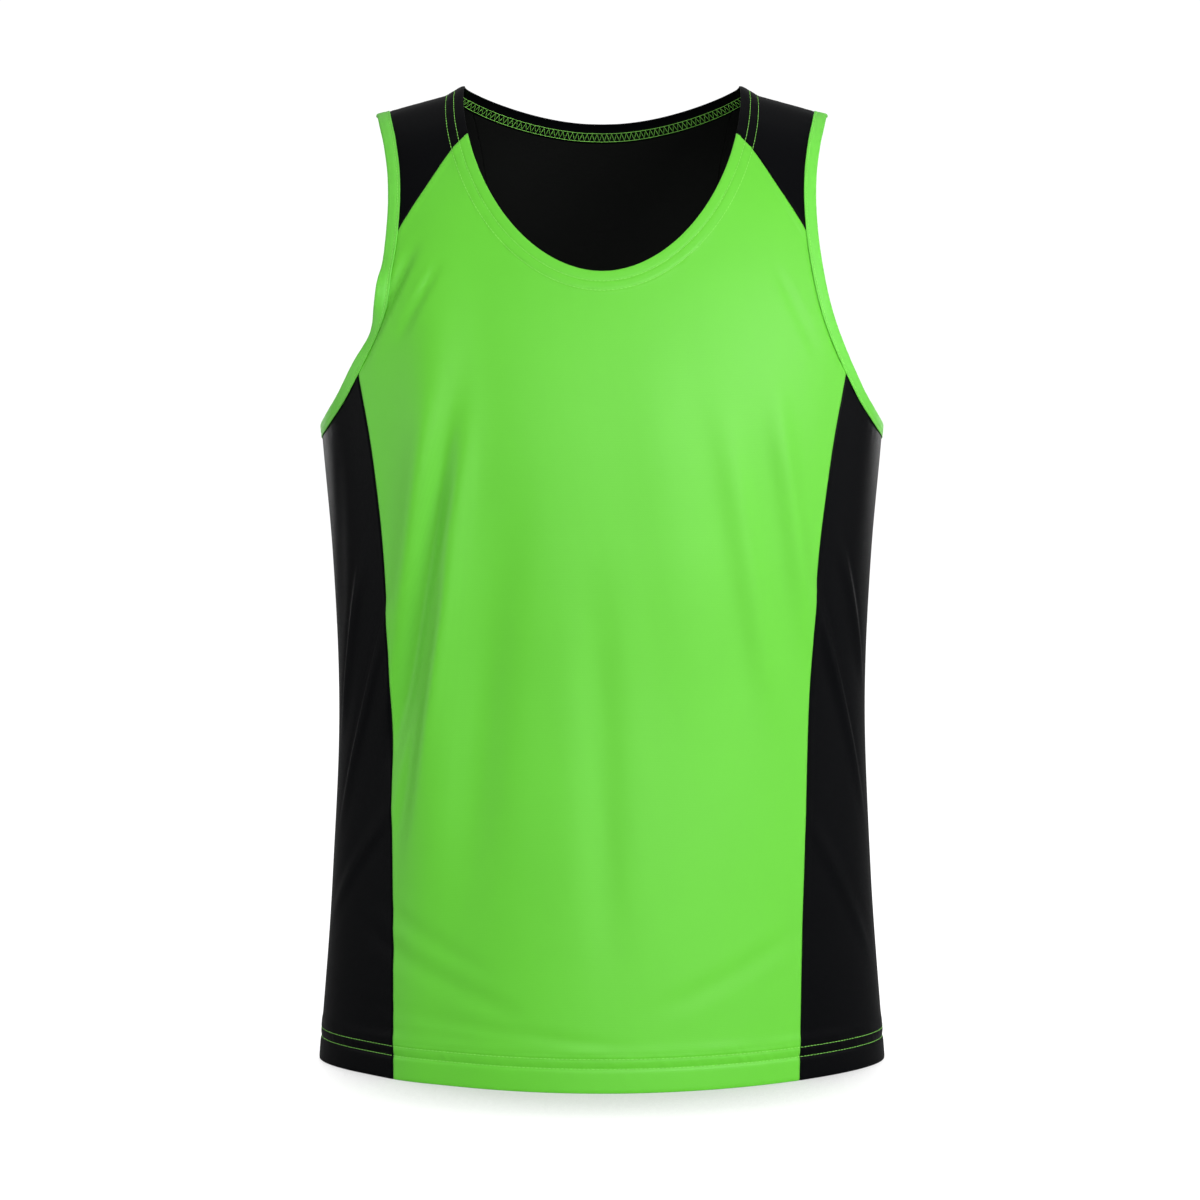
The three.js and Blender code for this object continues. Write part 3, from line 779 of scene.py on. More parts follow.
def add_grid(bm, points, places):
    """A grid of faces with its corners at an array of points, and its knit at `places`."""
    rows, columns = points.shape[:2]
    layer = bm.verts.layers.float_vector.get("knit") or bm.verts.layers.float_vector.new("knit")
    made = bmesh.ops.create_grid(bm, x_segments=columns - 1, y_segments=rows - 1, size=0.5)
    for vert in made["verts"]:
        i = round((vert.co.x + 0.5) * (columns - 1))
        j = round((vert.co.y + 0.5) * (rows - 1))
        vert.co = points[j, i]
        vert[layer] = (*places[j, i], 0.0)


def add_piece(name, data, *materials):
    """A piece of the singlet made from a mesh or a curve."""
    for material in materials:
        data.materials.append(material)
    piece = bpy.data.objects.new(name, data)
    bpy.context.scene.collection.objects.link(piece)
    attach(piece, "root")
    return piece


def finish_mesh(bm, name, materials, thickness):
    """Closes the doubles, keeps the first face looking outwards and gives the cloth its wall.

    The last of the materials is the cloth's wrong side.
    """
    bm.normal_update()
    bm.faces.ensure_lookup_table()
    first = bm.faces[0]
    outwards = first.normal.copy()
    bmesh.ops.remove_doubles(bm, verts=bm.verts, dist=0.02 * MM)
    bmesh.ops.recalc_face_normals(bm, faces=bm.faces)
    bm.normal_update()
    if first.normal @ outwards < 0:
        bmesh.ops.reverse_faces(bm, faces=bm.faces)
    for face in bm.faces:
        face.smooth = True
    mesh = bpy.data.meshes.new(name)
    bm.to_mesh(mesh)
    bm.free()
    piece = add_piece(name, mesh, *materials)
    wall = piece.modifiers.new("cloth", "SOLIDIFY")
    wall.thickness = thickness
    wall.offset = -1
    wall.material_offset = len(materials) - 1
    return piece


Turning = namedtuple("Turning", "where towards depth")  # `where` picks the edge's marks in a net


def add_turning(bm, pattern, marks, across, turning):
    """Cloth folded in behind an edge: round the fold, then flat against the inside."""
    form = pattern.form
    points, normals = pattern.face(marks)
    inwards = form.sideways(marks) * turning.towards
    gap = 2 * pattern.cloth + pattern.sewing.fold_room
    bulge = 0.42 * MM
    turns = np.linspace(0, HALF_TURN, 7)
    around = [
        points - inwards * bulge * math.sin(turn) - normals * gap * (1 - math.cos(turn)) / 2
        for turn in turns
    ]
    steps = spaced((0.8 * MM, 0.4 * MM), (turning.depth - 0.8 * MM, 1.6 * MM))[1:]
    inside = []
    for line in form.inset(marks, steps, turning.towards):
        face, normal = pattern.face(line)
        inside.append(face - normal * gap)
    strip = np.array(around + inside)
    past_edge = np.concatenate([np.linspace(0, gap, len(turns)), gap + steps])
    places = np.empty(strip.shape[:2] + (2,))
    places[..., 0] = across
    places[..., 1] = past_edge[:, None] + marks[None, :, 1]
    add_grid(bm, strip, places)


def cloth_panel(name, pattern, net, middle, materials, turnings):
    """One cut piece: its net of marks laid on the form, with its turned edges."""
    across = pattern.form.girth(middle, net)
    face, _ = pattern.face(net)
    bm = bmesh.new()
    add_grid(bm, face, np.stack([across, net[..., 1]], axis=-1))
    for turning in turnings:
        add_turning(bm, pattern, net[turning.where], across[turning.where], turning)
    return finish_mesh(bm, name, materials, pattern.cloth)


# Spacing of a panel's net: the row along a cut edge, then small steps in the band beside a seam.
EDGE_ROW = 0.3 * MM
SEAM_STEP = 0.9 * MM
SEAM_BAND = 3.0 * MM
NECK_BAND = 19 * MM


def edge_spans(length, step):
    """Spans that are tight at both ends of a line and `step` apart between."""
    end = [(EDGE_ROW, EDGE_ROW), (SEAM_BAND - EDGE_ROW, SEAM_STEP)]
    return end + [(length - 2 * SEAM_BAND, step)] + end[::-1]


def shares_of(spans):
    places = spaced(*spans)
    return places / places[-1]


def body_rows(pattern, edges, top_band, step):
    """Rows of a panel with a hem, as shares of its side edge, and the share where they level."""
    total = pattern.form.length(edges.left)
    hem_band = pattern.sewing.hem_turning + 2 * MM
    above_hem = 12 * MM
    spans = [
        (EDGE_ROW, EDGE_ROW),
        (hem_band - EDGE_ROW, 0.8 * MM),
        (above_hem, 2 * MM),
        (total - hem_band - above_hem - top_band, step),
        (top_band - EDGE_ROW, SEAM_STEP),
        (EDGE_ROW, EDGE_ROW),
    ]
    return shares_of(spans), hem_band / total


def top_columns(neck, shoulder):
    """Columns of the front or back panel along its top edge, and the neck's first and last."""
    half = [
        (EDGE_ROW, EDGE_ROW),
        (SEAM_BAND - EDGE_ROW, SEAM_STEP),
        (shoulder - SEAM_BAND - NECK_BAND, 2.8 * MM),
        (NECK_BAND, SEAM_STEP),
    ]
    start = len(spaced(*half)) - 1
    columns = shares_of(half + [(2 * neck, 3.2 * MM)] + half[::-1])
    return columns, start, len(columns) - 1 - start


# ---- Stitches -------------------------------------------------------------------------------


def along_loop(points, values, places):
    """Values carried by a closed loop of points, read at distances along it."""
    at = run_length(closed(points))
    loop = closed(values)
    places = np.mod(places, at[-1])
    return np.stack([np.interp(places, at, loop[:, k]) for k in range(3)], axis=-1)


def copies(bm, count):
    """Repeats what a mesh holds until it has `count` of it; returns the corners of each."""
    made = [list(bm.verts)]
    while len(made) < count:
        source = made[: count - len(made)]
        verts = [vert for one in source for vert in one]
        faces = list(dict.fromkeys(face for vert in verts for face in vert.link_faces))
        twins = bmesh.ops.duplicate(bm, geom=verts + faces)["vert_map"]
        made += [[twins[vert] for vert in one] for one in source]
    return made


def row_of_stitches(points, normals, pitch, thread):
    """A mesh of short bulging stitches round a closed loop."""
    total = run_length(closed(points))[-1]
    count = round(total / pitch)
    step = total / count
    reach = 0.47 * step
    middles = (np.arange(count) + 0.5) * step
    centres = along_loop(points, points, middles)
    ups = unit(along_loop(points, normals, middles))
    forward = along_loop(points, points, middles + reach) - along_loop(points, points, middles - reach)
    aside = unit(np.cross(ups, forward)) * thread / 2
    bm = bmesh.new()
    bmesh.ops.create_uvsphere(bm, u_segments=6, v_segments=5, radius=1.0)
    shape = np.array([vert.co for vert in bm.verts])
    axes = np.stack([aside, ups * thread / 2, forward / 2], axis=1)
    places = np.einsum("vk,nkd->nvd", shape, axes) + centres[:, None]
    for verts, stitch in zip(copies(bm, count), places):
        for vert, place in zip(verts, stitch):
            vert.co = place
    return bm


def stitch_piece(rows, name, material):
    """One object from several rows of stitches."""
    mesh = bpy.data.meshes.new(name)
    whole = bmesh.new()
    for row in rows:
        row.to_mesh(mesh)
        row.free()
        whole.from_mesh(mesh)
    for face in whole.faces:
        face.smooth = True
    whole.to_mesh(mesh)
    whole.free()
    add_piece(name, mesh, material)


def thread_piece(name, paths, thread, material):
    """Lengths of thread, each a path of points."""
    curve = bpy.data.curves.new(name, "CURVE")
    curve.dimensions = "3D"
    curve.bevel_depth = thread / 2
    curve.bevel_resolution = 1
    curve.use_fill_caps = True
    for path in paths:
        spline = curve.splines.new("POLY")
        spline.points.add(len(path) - 1)
        spline.points.foreach_set("co", np.column_stack([path, np.ones(len(path))]).ravel())
        spline.use_cyclic_u = True
    add_piece(name, curve, material)


def looper_paths(first, second, normals, pitch, thread):
    """The looper thread that swings to and fro between two rows, and one along each row."""
    total = run_length(closed(first))[-1]
    count = round(total / pitch)
    steps = np.arange(4 * count) / (4 * count)
    swing = np.abs(np.mod(steps * count, 1) * 2 - 1)
    swing = 0.5 - 0.5 * np.cos(HALF_TURN * swing)
    weave = np.cos(2 * HALF_TURN * np.mod(steps * count, 1))
    up = unit(along_loop(first, normals, steps * total))
    near = along_loop(first, first, steps * total)
    far_total = run_length(closed(second))[-1]
    far = along_loop(second, second, steps * far_total)
    across = near + (far - near) * (0.04 + 0.92 * swing)[:, None]
    return [across + up * (thread * 0.35 * weave)[:, None], near, far]


# ---- Materials ------------------------------------------------------------------------------


class Nodes:
    """Short ways to add and link nodes in one tree."""

    def __init__(self, tree):
        self.tree = tree

    def add(self, kind, **settings):
        node = self.tree.nodes.new(kind)
        for key, value in settings.items():
            setattr(node, key, value)
        return node

    def feed(self, socket, value):
        if isinstance(value, bpy.types.NodeSocket):
            self.tree.links.new(value, socket)
        else:
            socket.default_value = value

    def math(self, operation, first, second=0.0, third=0.0):
        node = self.add("ShaderNodeMath", operation=operation)
        for socket, value in zip(node.inputs, (first, second, third)):
            self.feed(socket, value)
        return node.outputs[0]

    def mix(self, factor, first, second):
        node = self.add("ShaderNodeMix", data_type="RGBA")
        self.feed(node.inputs["Factor"], factor)
        self.feed(node.inputs[6], first)
        self.feed(node.inputs[7], second)
        return node.outputs[2]

    def noise(self, vector, scale, detail, roughness=0.5):
        node = self.add("ShaderNodeTexNoise")
        self.feed(node.inputs["Vector"], vector)
        node.inputs["Scale"].default_value = scale
        node.inputs["Detail"].default_value = detail
        node.inputs["Roughness"].default_value = roughness
        return node.outputs["Fac"]

    def bump(self, height, strength, distance):
        node = self.add("ShaderNodeBump")
        node.inputs["Strength"].default_value = strength
        node.inputs["Distance"].default_value = distance
        self.feed(node.inputs["Height"], height)
        return node.outputs[0]

    def group(self, tree, **values):
        node = self.add("ShaderNodeGroup", node_tree=tree)
        for key, value in values.items():
            self.feed(node.inputs[key], value)
        return node.outputs


def node_group(name, inputs, outputs):
    tree = bpy.data.node_groups.new(name, "ShaderNodeTree")
    for key, kind in inputs.items():
        tree.interface.new_socket(name=key, in_out="INPUT", socket_type=kind)
    for key in outputs:
        tree.interface.new_socket(name=key, in_out="OUTPUT", socket_type="NodeSocketFloat")
    nodes = Nodes(tree)
    return nodes, nodes.add("NodeGroupInput").outputs, nodes.add("NodeGroupOutput").inputs


def knit_group():
    """Columns of knit stitches: each stitch is a V of two yarn legs."""
    inputs = {"Place": "NodeSocketVector", "Wale": "NodeSocketFloat", "Course": "NodeSocketFloat"}
    nodes, given, made = node_group("knit_stitches", inputs, ("Height", "Hollow"))
    place = nodes.add("ShaderNodeSeparateXYZ")
    nodes.feed(place.inputs[0], given["Place"])
    wale = nodes.math("FRACT", nodes.math("DIVIDE", place.outputs["X"], given["Wale"]))
    leg = nodes.math("ABSOLUTE", nodes.math("MULTIPLY_ADD", wale, 2.0, -1.0))
    course = nodes.math("DIVIDE", place.outputs["Y"], given["Course"])
    slant = nodes.math("MULTIPLY_ADD", leg, 0.55, course)
    bead = nodes.math("COSINE", nodes.math("MULTIPLY", slant, 2 * HALF_TURN))
    round_leg = nodes.math("SINE", nodes.math("MULTIPLY", leg, HALF_TURN))
    height = nodes.math("MULTIPLY_ADD", bead, 0.22, nodes.math("MULTIPLY", round_leg, 0.78))
    nodes.feed(made["Height"], height)
    # The second output marks the gaps between the columns, where the tone takes painted shade.
    nodes.feed(made["Hollow"], nodes.math("SUBTRACT", 1.0, round_leg))
    return nodes.tree


def unevenness_group():
    """Broad soft blotches and fine fibre specks, both about 0.5."""
    nodes, given, made = node_group("cloth_unevenness", {"Place": "NodeSocketVector"}, ("Broad", "Fine"))
    nodes.feed(made["Broad"], nodes.noise(given["Place"], 18.0, 3.0))
    nodes.feed(made["Fine"], nodes.noise(given["Place"], 900.0, 2.0, 0.7))
    return nodes.tree


def shared_group(name, build):
    return bpy.data.node_groups.get(name) or build()


def new_material(name):
    material = bpy.data.materials.new(name)
    material.use_nodes = True
    material.node_tree.nodes.clear()
    nodes = Nodes(material.node_tree)
    shader = nodes.add("ShaderNodeBsdfPrincipled")
    output = nodes.add("ShaderNodeOutputMaterial")
    nodes.feed(output.inputs["Surface"], shader.outputs[0])
    return material, nodes, shader


def darker(colour, share):
    return (*(channel * share for channel in colour), 1.0)


# How a knit looks: the painted shade in the hollows between the columns of stitches and its tone in soft
# patches (1 is no darker), the strength of its relief, its roughness, its gloss and its fuzz.
Knit = namedtuple("Knit", "hollow_shade patch_shade relief roughness specular sheen")
GREEN_FACE = Knit(0.88, 0.97, 0.35, 0.50, 0.45, 0.05)
BLACK_FACE = Knit(0.80, 0.85, 0.29, 0.38, 0.03, 0.0)
BLACK_INSIDE = Knit(0.85, 0.90, 0.35, 0.70, 0.01, 0.0)
BINDING_FACE = Knit(0.90, 0.97, 0.35, 0.50, 0.40, 0.05)


def knit_tone(nodes, colour, knit, stitches, uneven):
    """The colour, with painted shade between the columns of stitches, and darker in soft patches."""
    # Painted shade: the colour darkens in the hollows between the columns of stitches.
    tone = nodes.mix(stitches["Hollow"], darker(colour, 1.0), darker(colour, knit.hollow_shade))
    patch = nodes.math("MULTIPLY_ADD", uneven["Broad"], 2.0, -0.5)
    light = nodes.mix(patch, darker((1.0, 1.0, 1.0), knit.patch_shade), (1.0, 1.0, 1.0, 1.0))
    shaded = nodes.add("ShaderNodeMix", data_type="RGBA", blend_type="MULTIPLY")
    shaded.inputs["Factor"].default_value = 1.0
    nodes.feed(shaded.inputs[6], tone)
    nodes.feed(shaded.inputs[7], light)
    return shaded.outputs[2]


def knit_normal(nodes, knit, stitches, uneven):
    """The relief of the columns of stitches, with a little fibre on top."""
    height = nodes.math("MULTIPLY_ADD", uneven["Fine"], 0.35, stitches["Height"])
    return nodes.bump(height, knit.relief, 0.12 * MM)


def knit_material(name, colour, knit):
    """Smooth knit: a column pattern in relief and in painted shade, with soft uneven patches."""
    found = bpy.data.materials.get(name)
    if found:
        return found
    finish = bpy.context.scene.singlet_finish
    material, nodes, shader = new_material(name)
    place = nodes.add("ShaderNodeAttribute", attribute_name="knit").outputs["Vector"]
    space = nodes.add("ShaderNodeTexCoord").outputs["Object"]
    stitches = nodes.group(
        shared_group("knit_stitches", knit_group), Place=place, Wale=finish.wale, Course=finish.course
    )
    uneven = nodes.group(shared_group("cloth_unevenness", unevenness_group), Place=space)
    nodes.feed(shader.inputs["Base Color"], knit_tone(nodes, colour, knit, stitches, uneven))
    rough = nodes.math("MULTIPLY_ADD", uneven["Fine"], 0.12, knit.roughness - 0.06)
    nodes.feed(shader.inputs["Roughness"], rough)
    nodes.feed(shader.inputs["Normal"], knit_normal(nodes, knit, stitches, uneven))
    shader.inputs["Specular IOR Level"].default_value = knit.specular
    shader.inputs["Sheen Weight"].default_value = knit.sheen
    shader.inputs["Sheen Roughness"].default_value = 0.45
    return material


def green_knit():
    finish = bpy.context.scene.singlet_finish
    return knit_material("green_smooth_knit", finish.green, GREEN_FACE)


def black_knits():
    """The face of the black knit, and its duller and lighter wrong side."""
    finish = bpy.context.scene.singlet_finish
    return (
        knit_material("black_smooth_knit", finish.black, BLACK_FACE),
        knit_material("black_knit_inside", finish.inside, BLACK_INSIDE),
    )


def binding_knit():
    finish = bpy.context.scene.singlet_finish
    return knit_material("green_binding_knit", finish.binding, BINDING_FACE)


def sewing_thread():
    """Two-ply polyester thread."""
    found = bpy.data.materials.get("sewing_thread")
    if found:
        return found
    colour = bpy.context.scene.singlet_finish.thread
    material, nodes, shader = new_material("sewing_thread")
    space = nodes.add("ShaderNodeTexCoord").outputs["Object"]
    uneven = nodes.group(shared_group("cloth_unevenness", unevenness_group), Place=space)
    tone = nodes.mix(uneven["Fine"], darker(colour, 0.75), darker(colour, 1.1))
    nodes.feed(shader.inputs["Base Color"], tone)
    twist = nodes.noise(space, 2500.0, 1.0)
    nodes.feed(shader.inputs["Normal"], nodes.bump(twist, 0.4, 0.05 * MM))
    shader.inputs["Roughness"].default_value = 0.5
    shader.inputs["Specular IOR Level"].default_value = 0.35
    return material


def floor_shade(nodes, studio):
    """Share of the floor's glow left at each spot, least right in front of the hem.

    Of all directions towards the back, half are open right in front of the hem and three quarters
    right beside it, so the shade ends a little past that.
    """
    most_shade, no_shade = 0.5, 0.8
    towards_back = nodes.add("ShaderNodeCombineXYZ")
    towards_back.inputs["Y"].default_value = 1.0
    towards_back.inputs["Z"].default_value = 0.1
    near = nodes.add("ShaderNodeAmbientOcclusion")
    near.inputs["Distance"].default_value = studio.contact_reach
    nodes.feed(near.inputs["Normal"], towards_back.outputs[0])
    open_air = nodes.add("ShaderNodeMapRange")
    open_air.inputs["From Min"].default_value = most_shade
    open_air.inputs["From Max"].default_value = no_shade
    open_air.inputs["To Min"].default_value = studio.contact_share
    nodes.feed(open_air.inputs["Value"], near.outputs["AO"])
    return open_air.outputs["Result"]


def studio_white():
    """Floor that looks white, and throws less light up at the cloth than it shows."""
    studio = bpy.context.scene.singlet_studio
    material, nodes, shader = new_material("studio_white")
    space = nodes.add("ShaderNodeTexCoord").outputs["Object"]
    white = darker((1.0, 1.0, 1.0), studio.floor_white)
    tone = nodes.mix(nodes.noise(space, 3.0, 1.0), white, darker(white[:3], 0.995))
    nodes.feed(shader.inputs["Base Color"], tone)
    shader.inputs["Roughness"].default_value = 0.9
    shader.inputs["Specular IOR Level"].default_value = 0.0
    nodes.feed(shader.inputs["Emission Color"], floor_shade(nodes, studio))
    shader.inputs["Emission Strength"].default_value = studio.floor_glow
    bounce = nodes.add("ShaderNodeBsdfDiffuse")
    bounce.inputs["Color"].default_value = darker((1.0, 1.0, 1.0), studio.floor_bounce)
    both = nodes.add("ShaderNodeMixShader")
    nodes.feed(both.inputs[0], nodes.add("ShaderNodeLightPath").outputs["Is Camera Ray"])
    nodes.feed(both.inputs[1], bounce.outputs[0])
    nodes.feed(both.inputs[2], shader.outputs[0])
    output = next(node for node in material.node_tree.nodes if node.type == "OUTPUT_MATERIAL")
    nodes.feed(output.inputs["Surface"], both.outputs[0])
    return material


# ---- Operators ------------------------------------------------------------------------------

WORK = {}


def the_pattern():
    """The pattern, worked out once for all the pieces."""
    scene = bpy.context.scene
    if "pattern" not in WORK:
        WORK["pattern"] = Pattern(scene.singlet_cut, scene.singlet_sewing)
    return WORK["pattern"]


def cut_body_panel(name, edges, top_seams, middle, materials):
    """The front or the back: a hem, a neck between two seams, and both edges turned in."""
    pattern = the_pattern()
    form, sewing = pattern.form, pattern.sewing
    neck, seam = (form.length(pattern.lines[key]) for key in top_seams)
    columns, first, last = top_columns(neck, seam)
    rows, level_zone = body_rows(pattern, edges, top_band=18 * MM, step=4 * MM)
    net = net_between(form, edges, columns, rows, level_zone)
    turnings = (
        Turning((0, slice(None)), 1, sewing.hem_turning),
        Turning((-1, slice(first, last + 1)), -1, sewing.neck_turning),
    )
    return cloth_panel(name, pattern, net, middle, materials, turnings)


class SINGLET_OT_front_panel(bpy.types.Operator):
    """Cuts the green front panel, with its turned neck and hem"""

    bl_idname = "singlet.front_panel"
    bl_label = "Front Panel"

    def execute(self, context):
        edges = front_edges(the_pattern())
        seams = ("neck_front", "shoulder_seam")
        piece = cut_body_panel("front_cloth", edges, seams, 0.0, (green_knit(),))
        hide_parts("front_panel")
        return {"FINISHED"}


class SINGLET_OT_back_panel(bpy.types.Operator):
    """Cuts the black back panel, with its turned neck and hem"""

    bl_idname = "singlet.back_panel"
    bl_label = "Back Panel"

    def execute(self, context):
        edges = back_edges(the_pattern())
        seams = ("neck_back", "ridge_back")
        piece = cut_body_panel("back_cloth", edges, seams, HALF_TURN, black_knits())
        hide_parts("back_panel")
        return {"FINISHED"}


class SINGLET_OT_side_panels(bpy.types.Operator):
    """Cuts the two black side panels, with their turned hems"""

    bl_idname = "singlet.side_panels"
    bl_label = "Side Panels"

    def execute(self, context):
        pattern = the_pattern()
        form, sewing = pattern.form, pattern.sewing
        right = side_edges(pattern)
        columns = shares_of(edge_spans(form.length(right.bottom), 1.5 * MM))
        rows, level_zone = body_rows(pattern, right, top_band=4 * MM, step=3.2 * MM)
        hem = Turning((0, slice(None)), 1, sewing.hem_turning)
        for side, edges, middle in (("right", right, SIDE), ("left", other_edges(right), -SIDE)):
            net = net_between(form, edges, columns, rows, level_zone)
            piece = cloth_panel(f"side_cloth_{side}", pattern, net, middle, black_knits(), (hem,))
            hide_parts(f"side_panel_{side}")
        return {"FINISHED"}


class SINGLET_OT_shoulder_panels(bpy.types.Operator):
    """Cuts the two black shoulder panels, with their turned neck edges"""

    bl_idname = "singlet.shoulder_panels"
    bl_label = "Shoulder Panels"

    def execute(self, context):
        pattern = the_pattern()
        form, sewing = pattern.form, pattern.sewing
        right = shoulder_edges(pattern)
        seam = form.length(right.bottom)
        between = seam - NECK_BAND - SEAM_BAND
        columns = shares_of([(NECK_BAND, SEAM_STEP), (between, 2.4 * MM), (SEAM_BAND, 1 * MM)])
        rows = shares_of(edge_spans(form.length(right.left), 2.0 * MM))
        width = sewing.neck_turning
        pieces = (
            ("right", right, columns, Turning((slice(None), 0), -1, width)),
            ("left", other_edges(right), 1 - columns[::-1], Turning((slice(None), -1), 1, width)),
        )
        for side, edges, places, turning in pieces:
            net = net_between(form, edges, places, rows, 0.0)
            piece = cloth_panel(f"shoulder_cloth_{side}", pattern, net, 0.0, black_knits(), (turning,))
            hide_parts(f"shoulder_panel_{side}")
        return {"FINISHED"}


# Section of the folded binding: distance past the panels' edge and height above the cloth, in
# millimetres, from its edge on the inside, round the fold, to its edge on the outside.
BINDING_SECTION = (
    (-0.9, -1.05),
    (-1.5, -1.30),
    (-1.2, -1.62),
    (0.2, -1.60),
    (1.3, -1.48),
    (2.6, -1.66),
    (5.0, -1.72),
    (7.4, -1.55),
    (8.35, -1.05),
    (8.5, -0.45),
    (8.3, 0.20),
    (7.3, 0.66),
    (5.0, 0.80),
    (2.4, 0.74),
    (0.9, 0.46),
    (-0.3, 0.66),
    (-1.05, 0.50),
    (-1.15, 0.12),
    (-0.5, 0.02),
)


def binding_section(width, count=44):
    section = np.array(BINDING_SECTION) * MM
    section[:, 0] *= width / section[:, 0].max()
    at = run_length(section)
    places = np.linspace(0, at[-1], count)
    return np.stack([curve_through(at, section[:, k])(places) for k in (0, 1)], axis=-1), places


def binding_frame(pattern, marks):
    """Points, normals and outward directions round an armhole."""
    form = pattern.form
    return form.points(marks), form.normals(marks), form.sideways(marks, loop=True)


class SINGLET_OT_armhole_bindings(bpy.types.Operator):
    """Folds the green binding over the edge of each armhole"""

    bl_idname = "singlet.armhole_bindings"
    bl_label = "Armhole Bindings"

    def execute(self, context):
        pattern = the_pattern()
        sewing = pattern.sewing
        section, around = binding_section(sewing.binding_width)
        thickness = context.scene.singlet_cut.binding_cloth
        for side, marks in pattern.arms.items():
            points, normals, outwards = binding_frame(pattern, marks)
            run = run_length(closed(points))
            wave = 0.10 * MM * ripple(run[:-1], (0.0075, 0.0125, 0.031), 5.2)
            rings = [
                points + outwards * out + normals * (up + wave)[:, None]
                for out, up in section
            ]
            sheet = np.array([closed(ring) for ring in rings]).transpose(1, 0, 2)
            places = np.stack(np.meshgrid(around, run), axis=-1)
            bm = bmesh.new()
            add_grid(bm, sheet, places)
            piece = finish_mesh(bm, f"binding_{side}", (binding_knit(),), thickness)
            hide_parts(f"armhole_binding_{side}")
        return {"FINISHED"}


class SINGLET_OT_stitching(bpy.types.Operator):
    """Sews the neck, the hem and the bindings"""

    bl_idname = "singlet.stitching"
    bl_label = "Stitching"

    def execute(self, context):
        pattern = the_pattern()
        self.sew_neck(pattern)
        self.sew_hem(pattern)
        self.sew_bindings(pattern)
        return {"FINISHED"}

    def sew_neck(self, pattern):
        sewing = pattern.sewing
        offsets = [sewing.edge_line, sewing.edge_line + sewing.gauge]
        rows = pattern.form.inset(pattern.neck, offsets, -1, loop=True)
        self.sew_rows(pattern, rows, "neck")

    def sew_hem(self, pattern):
        sewing, form = pattern.sewing, pattern.form
        angles = np.linspace(0, 2 * HALF_TURN, 721)[:-1]
        rises = (sewing.hem_line, sewing.hem_line + sewing.gauge)
        rows = [np.stack([angles, np.full_like(angles, form.hem - rise)], axis=-1) for rise in rises]
        self.sew_rows(pattern, rows, "hem")

    def sew_rows(self, pattern, rows, name):
        """Two rows of straight stitches outside and the looper threads inside."""
        sewing = pattern.sewing
        stitches, inside = [], []
        for row in rows:
            face, normals = pattern.face(row)
            raised = face + normals * sewing.thread * 0.45
            stitches.append(row_of_stitches(raised, normals, sewing.pitch, sewing.thread))
            depth = 2 * pattern.cloth + sewing.fold_room + sewing.thread * 0.5
            inside.append((face - normals * depth, -normals))
        stitch_piece(stitches, f"{name}_stitches", sewing_thread())
        paths = looper_paths(
            inside[0][0], inside[1][0], inside[0][1], sewing.looper_pitch, sewing.thread
        )
        thread_piece(f"{name}_cover_stitch", paths, sewing.thread * 0.8, sewing_thread())

    def sew_bindings(self, pattern):
        """A row of stitches on each face of the binding, just past the panels' edge."""
        sewing = pattern.sewing
        thread = sewing.thread * 0.9
        # Height over the panels' face, and the way the stitches face.
        outside, inside = (0.52 * MM, 1), (-1.56 * MM, -1)
        for side, marks in pattern.arms.items():
            points, normals, outwards = binding_frame(pattern, marks)
            line = points + outwards * sewing.binding_line
            rows = [
                row_of_stitches(line + normals * height, normals * facing, sewing.binding_pitch, thread)
                for height, facing in (outside, inside)
            ]
            stitch_piece(rows, f"binding_stitches_{side}", sewing_thread())


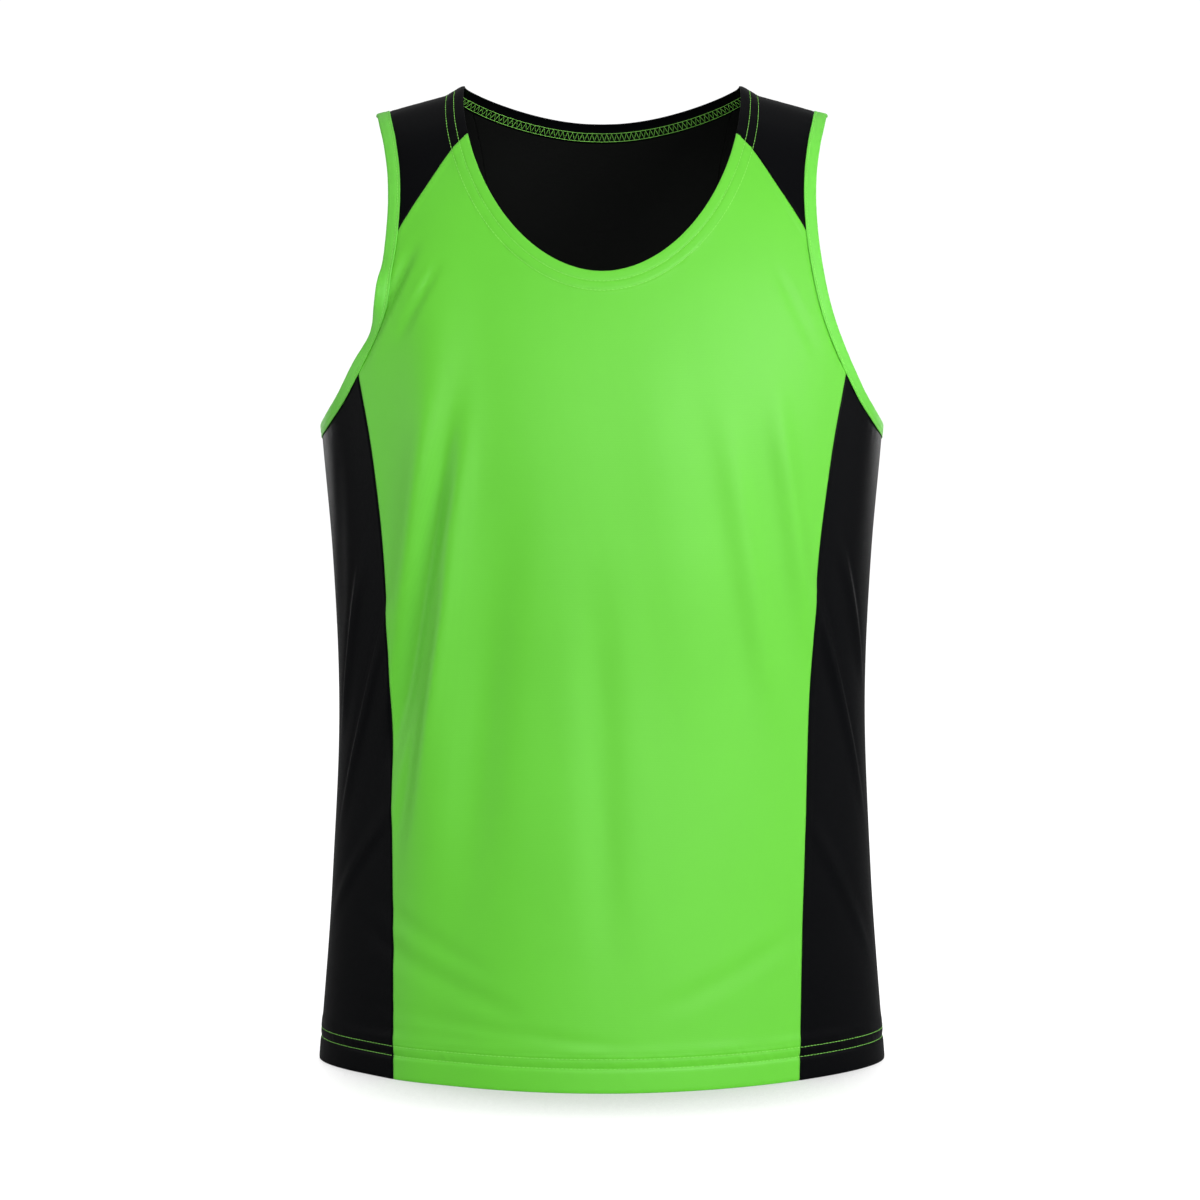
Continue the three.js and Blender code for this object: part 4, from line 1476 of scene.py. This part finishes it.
class SINGLET_OT_stage(bpy.types.Operator):
    """Sets the floor, the lamps and the camera"""

    bl_idname = "singlet.stage"
    bl_label = "Stage"

    def execute(self, context):
        studio = context.scene.singlet_studio
        self.lay_floor(context, studio)
        self.light(context, studio)
        self.aim(context, studio)
        return {"FINISHED"}

    def lay_floor(self, context, studio):
        bm = bmesh.new()
        bmesh.ops.create_grid(bm, x_segments=8, y_segments=8, size=studio.floor_size)
        under_hem = -LEVELS[-1].below - studio.floor_gap
        bmesh.ops.translate(bm, verts=bm.verts, vec=(0, 0, under_hem))
        mesh = bpy.data.meshes.new("floor")
        bm.to_mesh(mesh)
        bm.free()
        mesh.materials.append(studio_white())
        floor = bpy.data.objects.new("floor", mesh)
        context.scene.collection.objects.link(floor)

    def light(self, context, studio):
        self.fill_room(context, studio)
        self.panel_lamp(context, studio, "key", studio.key_light, 40, 16)
        self.panel_lamp(context, studio, "front", studio.front_light, 0, 10)
        self.panel_lamp(context, studio, "edge", studio.edge_light, -80, 5)
        self.panel_lamp(context, studio, "side", studio.side_light, 85, 5)
        for name, bearing in (("left rim", -145), ("right rim", 145)):
            self.panel_lamp(context, studio, name, studio.rim_light, bearing, 8, studio.rim_size)
        top = bpy.data.lights.new("top", "SUN")
        top.energy = studio.top_light
        top.angle = math.radians(70)
        self.hang(context, top, 0, 82, 2 * studio.lamp_distance)

    def fill_room(self, context, studio):
        """Even white surroundings, seen a little brighter than they light the singlet."""
        world = bpy.data.worlds.new("studio")
        world.use_nodes = True
        nodes = Nodes(world.node_tree)
        world.node_tree.nodes.clear()
        seen = nodes.add("ShaderNodeBackground")
        lit = nodes.add("ShaderNodeBackground")
        lit.inputs["Strength"].default_value = studio.room_light
        seen.inputs["Strength"].default_value = studio.room_seen
        for node in (seen, lit):
            node.inputs["Color"].default_value = (1, 1, 1, 1)
        mix = nodes.add("ShaderNodeMixShader")
        nodes.feed(mix.inputs[0], nodes.add("ShaderNodeLightPath").outputs["Is Camera Ray"])
        nodes.feed(mix.inputs[1], lit.outputs[0])
        nodes.feed(mix.inputs[2], seen.outputs[0])
        nodes.feed(nodes.add("ShaderNodeOutputWorld").inputs["Surface"], mix.outputs[0])
        context.scene.world = world

    def panel_lamp(self, context, studio, name, watts, bearing, rise, size=None):
        data = bpy.data.lights.new(name, "AREA")
        data.energy = watts
        data.shape = "DISK"
        data.size = size or studio.lamp_size
        self.hang(context, data, bearing, rise, studio.lamp_distance)

    def hang(self, context, data, bearing, rise, distance):
        """Hangs a lamp at degrees round from the front and up, aimed at the singlet."""
        turn, lift = math.radians(bearing), math.radians(rise)
        level = math.cos(lift)
        away = Vector((math.sin(turn) * level, -math.cos(turn) * level, math.sin(lift)))
        lamp = bpy.data.objects.new(data.name, data)
        lamp.location = away * distance + Vector((0, 0, -LEVELS[-1].below / 2))
        lamp.rotation_euler = (-away).to_track_quat("-Z", "Y").to_euler()
        context.scene.collection.objects.link(lamp)

    def aim(self, context, studio):
        data = bpy.data.cameras.new("camera")
        data.lens = studio.lens
        data.sensor_width = 36
        data.clip_end = 200
        camera = bpy.data.objects.new("camera", data)
        camera.location = (studio.camera_side, -studio.camera_distance, studio.camera_height)
        camera.rotation_euler = (SIDE, 0, 0)
        context.scene.collection.objects.link(camera)
        context.scene.camera = camera
        context.scene.view_settings.view_transform = "Standard"


OPERATORS = (
    SINGLET_OT_front_panel,
    SINGLET_OT_back_panel,
    SINGLET_OT_side_panels,
    SINGLET_OT_shoulder_panels,
    SINGLET_OT_armhole_bindings,
    SINGLET_OT_stitching,
    SINGLET_OT_stage,
)


class SINGLET_PT_panel(bpy.types.Panel):
    """Lists the pieces of the singlet"""

    bl_label = "Singlet"
    bl_idname = "SINGLET_PT_panel"
    bl_space_type = "VIEW_3D"
    bl_region_type = "UI"
    bl_category = "Singlet"

    def draw(self, context):
        for operator in OPERATORS:
            self.layout.operator(operator.bl_idname)
        for name, group in SETTINGS.items():
            box = self.layout.box()
            box.label(text=group.__doc__)
            for key in group.__annotations__:
                box.prop(getattr(context.scene, name), key)


CLASSES = (*SETTINGS.values(), *OPERATORS, SINGLET_PT_panel)


def register():
    for cls in CLASSES:
        bpy.utils.register_class(cls)
    for name, group in SETTINGS.items():
        setattr(bpy.types.Scene, name, bpy.props.PointerProperty(type=group))


def unregister():
    for name in SETTINGS:
        delattr(bpy.types.Scene, name)
    for cls in reversed(CLASSES):
        bpy.utils.unregister_class(cls)


def main():
    register()
    for operator in OPERATORS:
        family, action = operator.bl_idname.split(".")
        getattr(getattr(bpy.ops, family), action)()


if __name__ == "__main__":
    main()
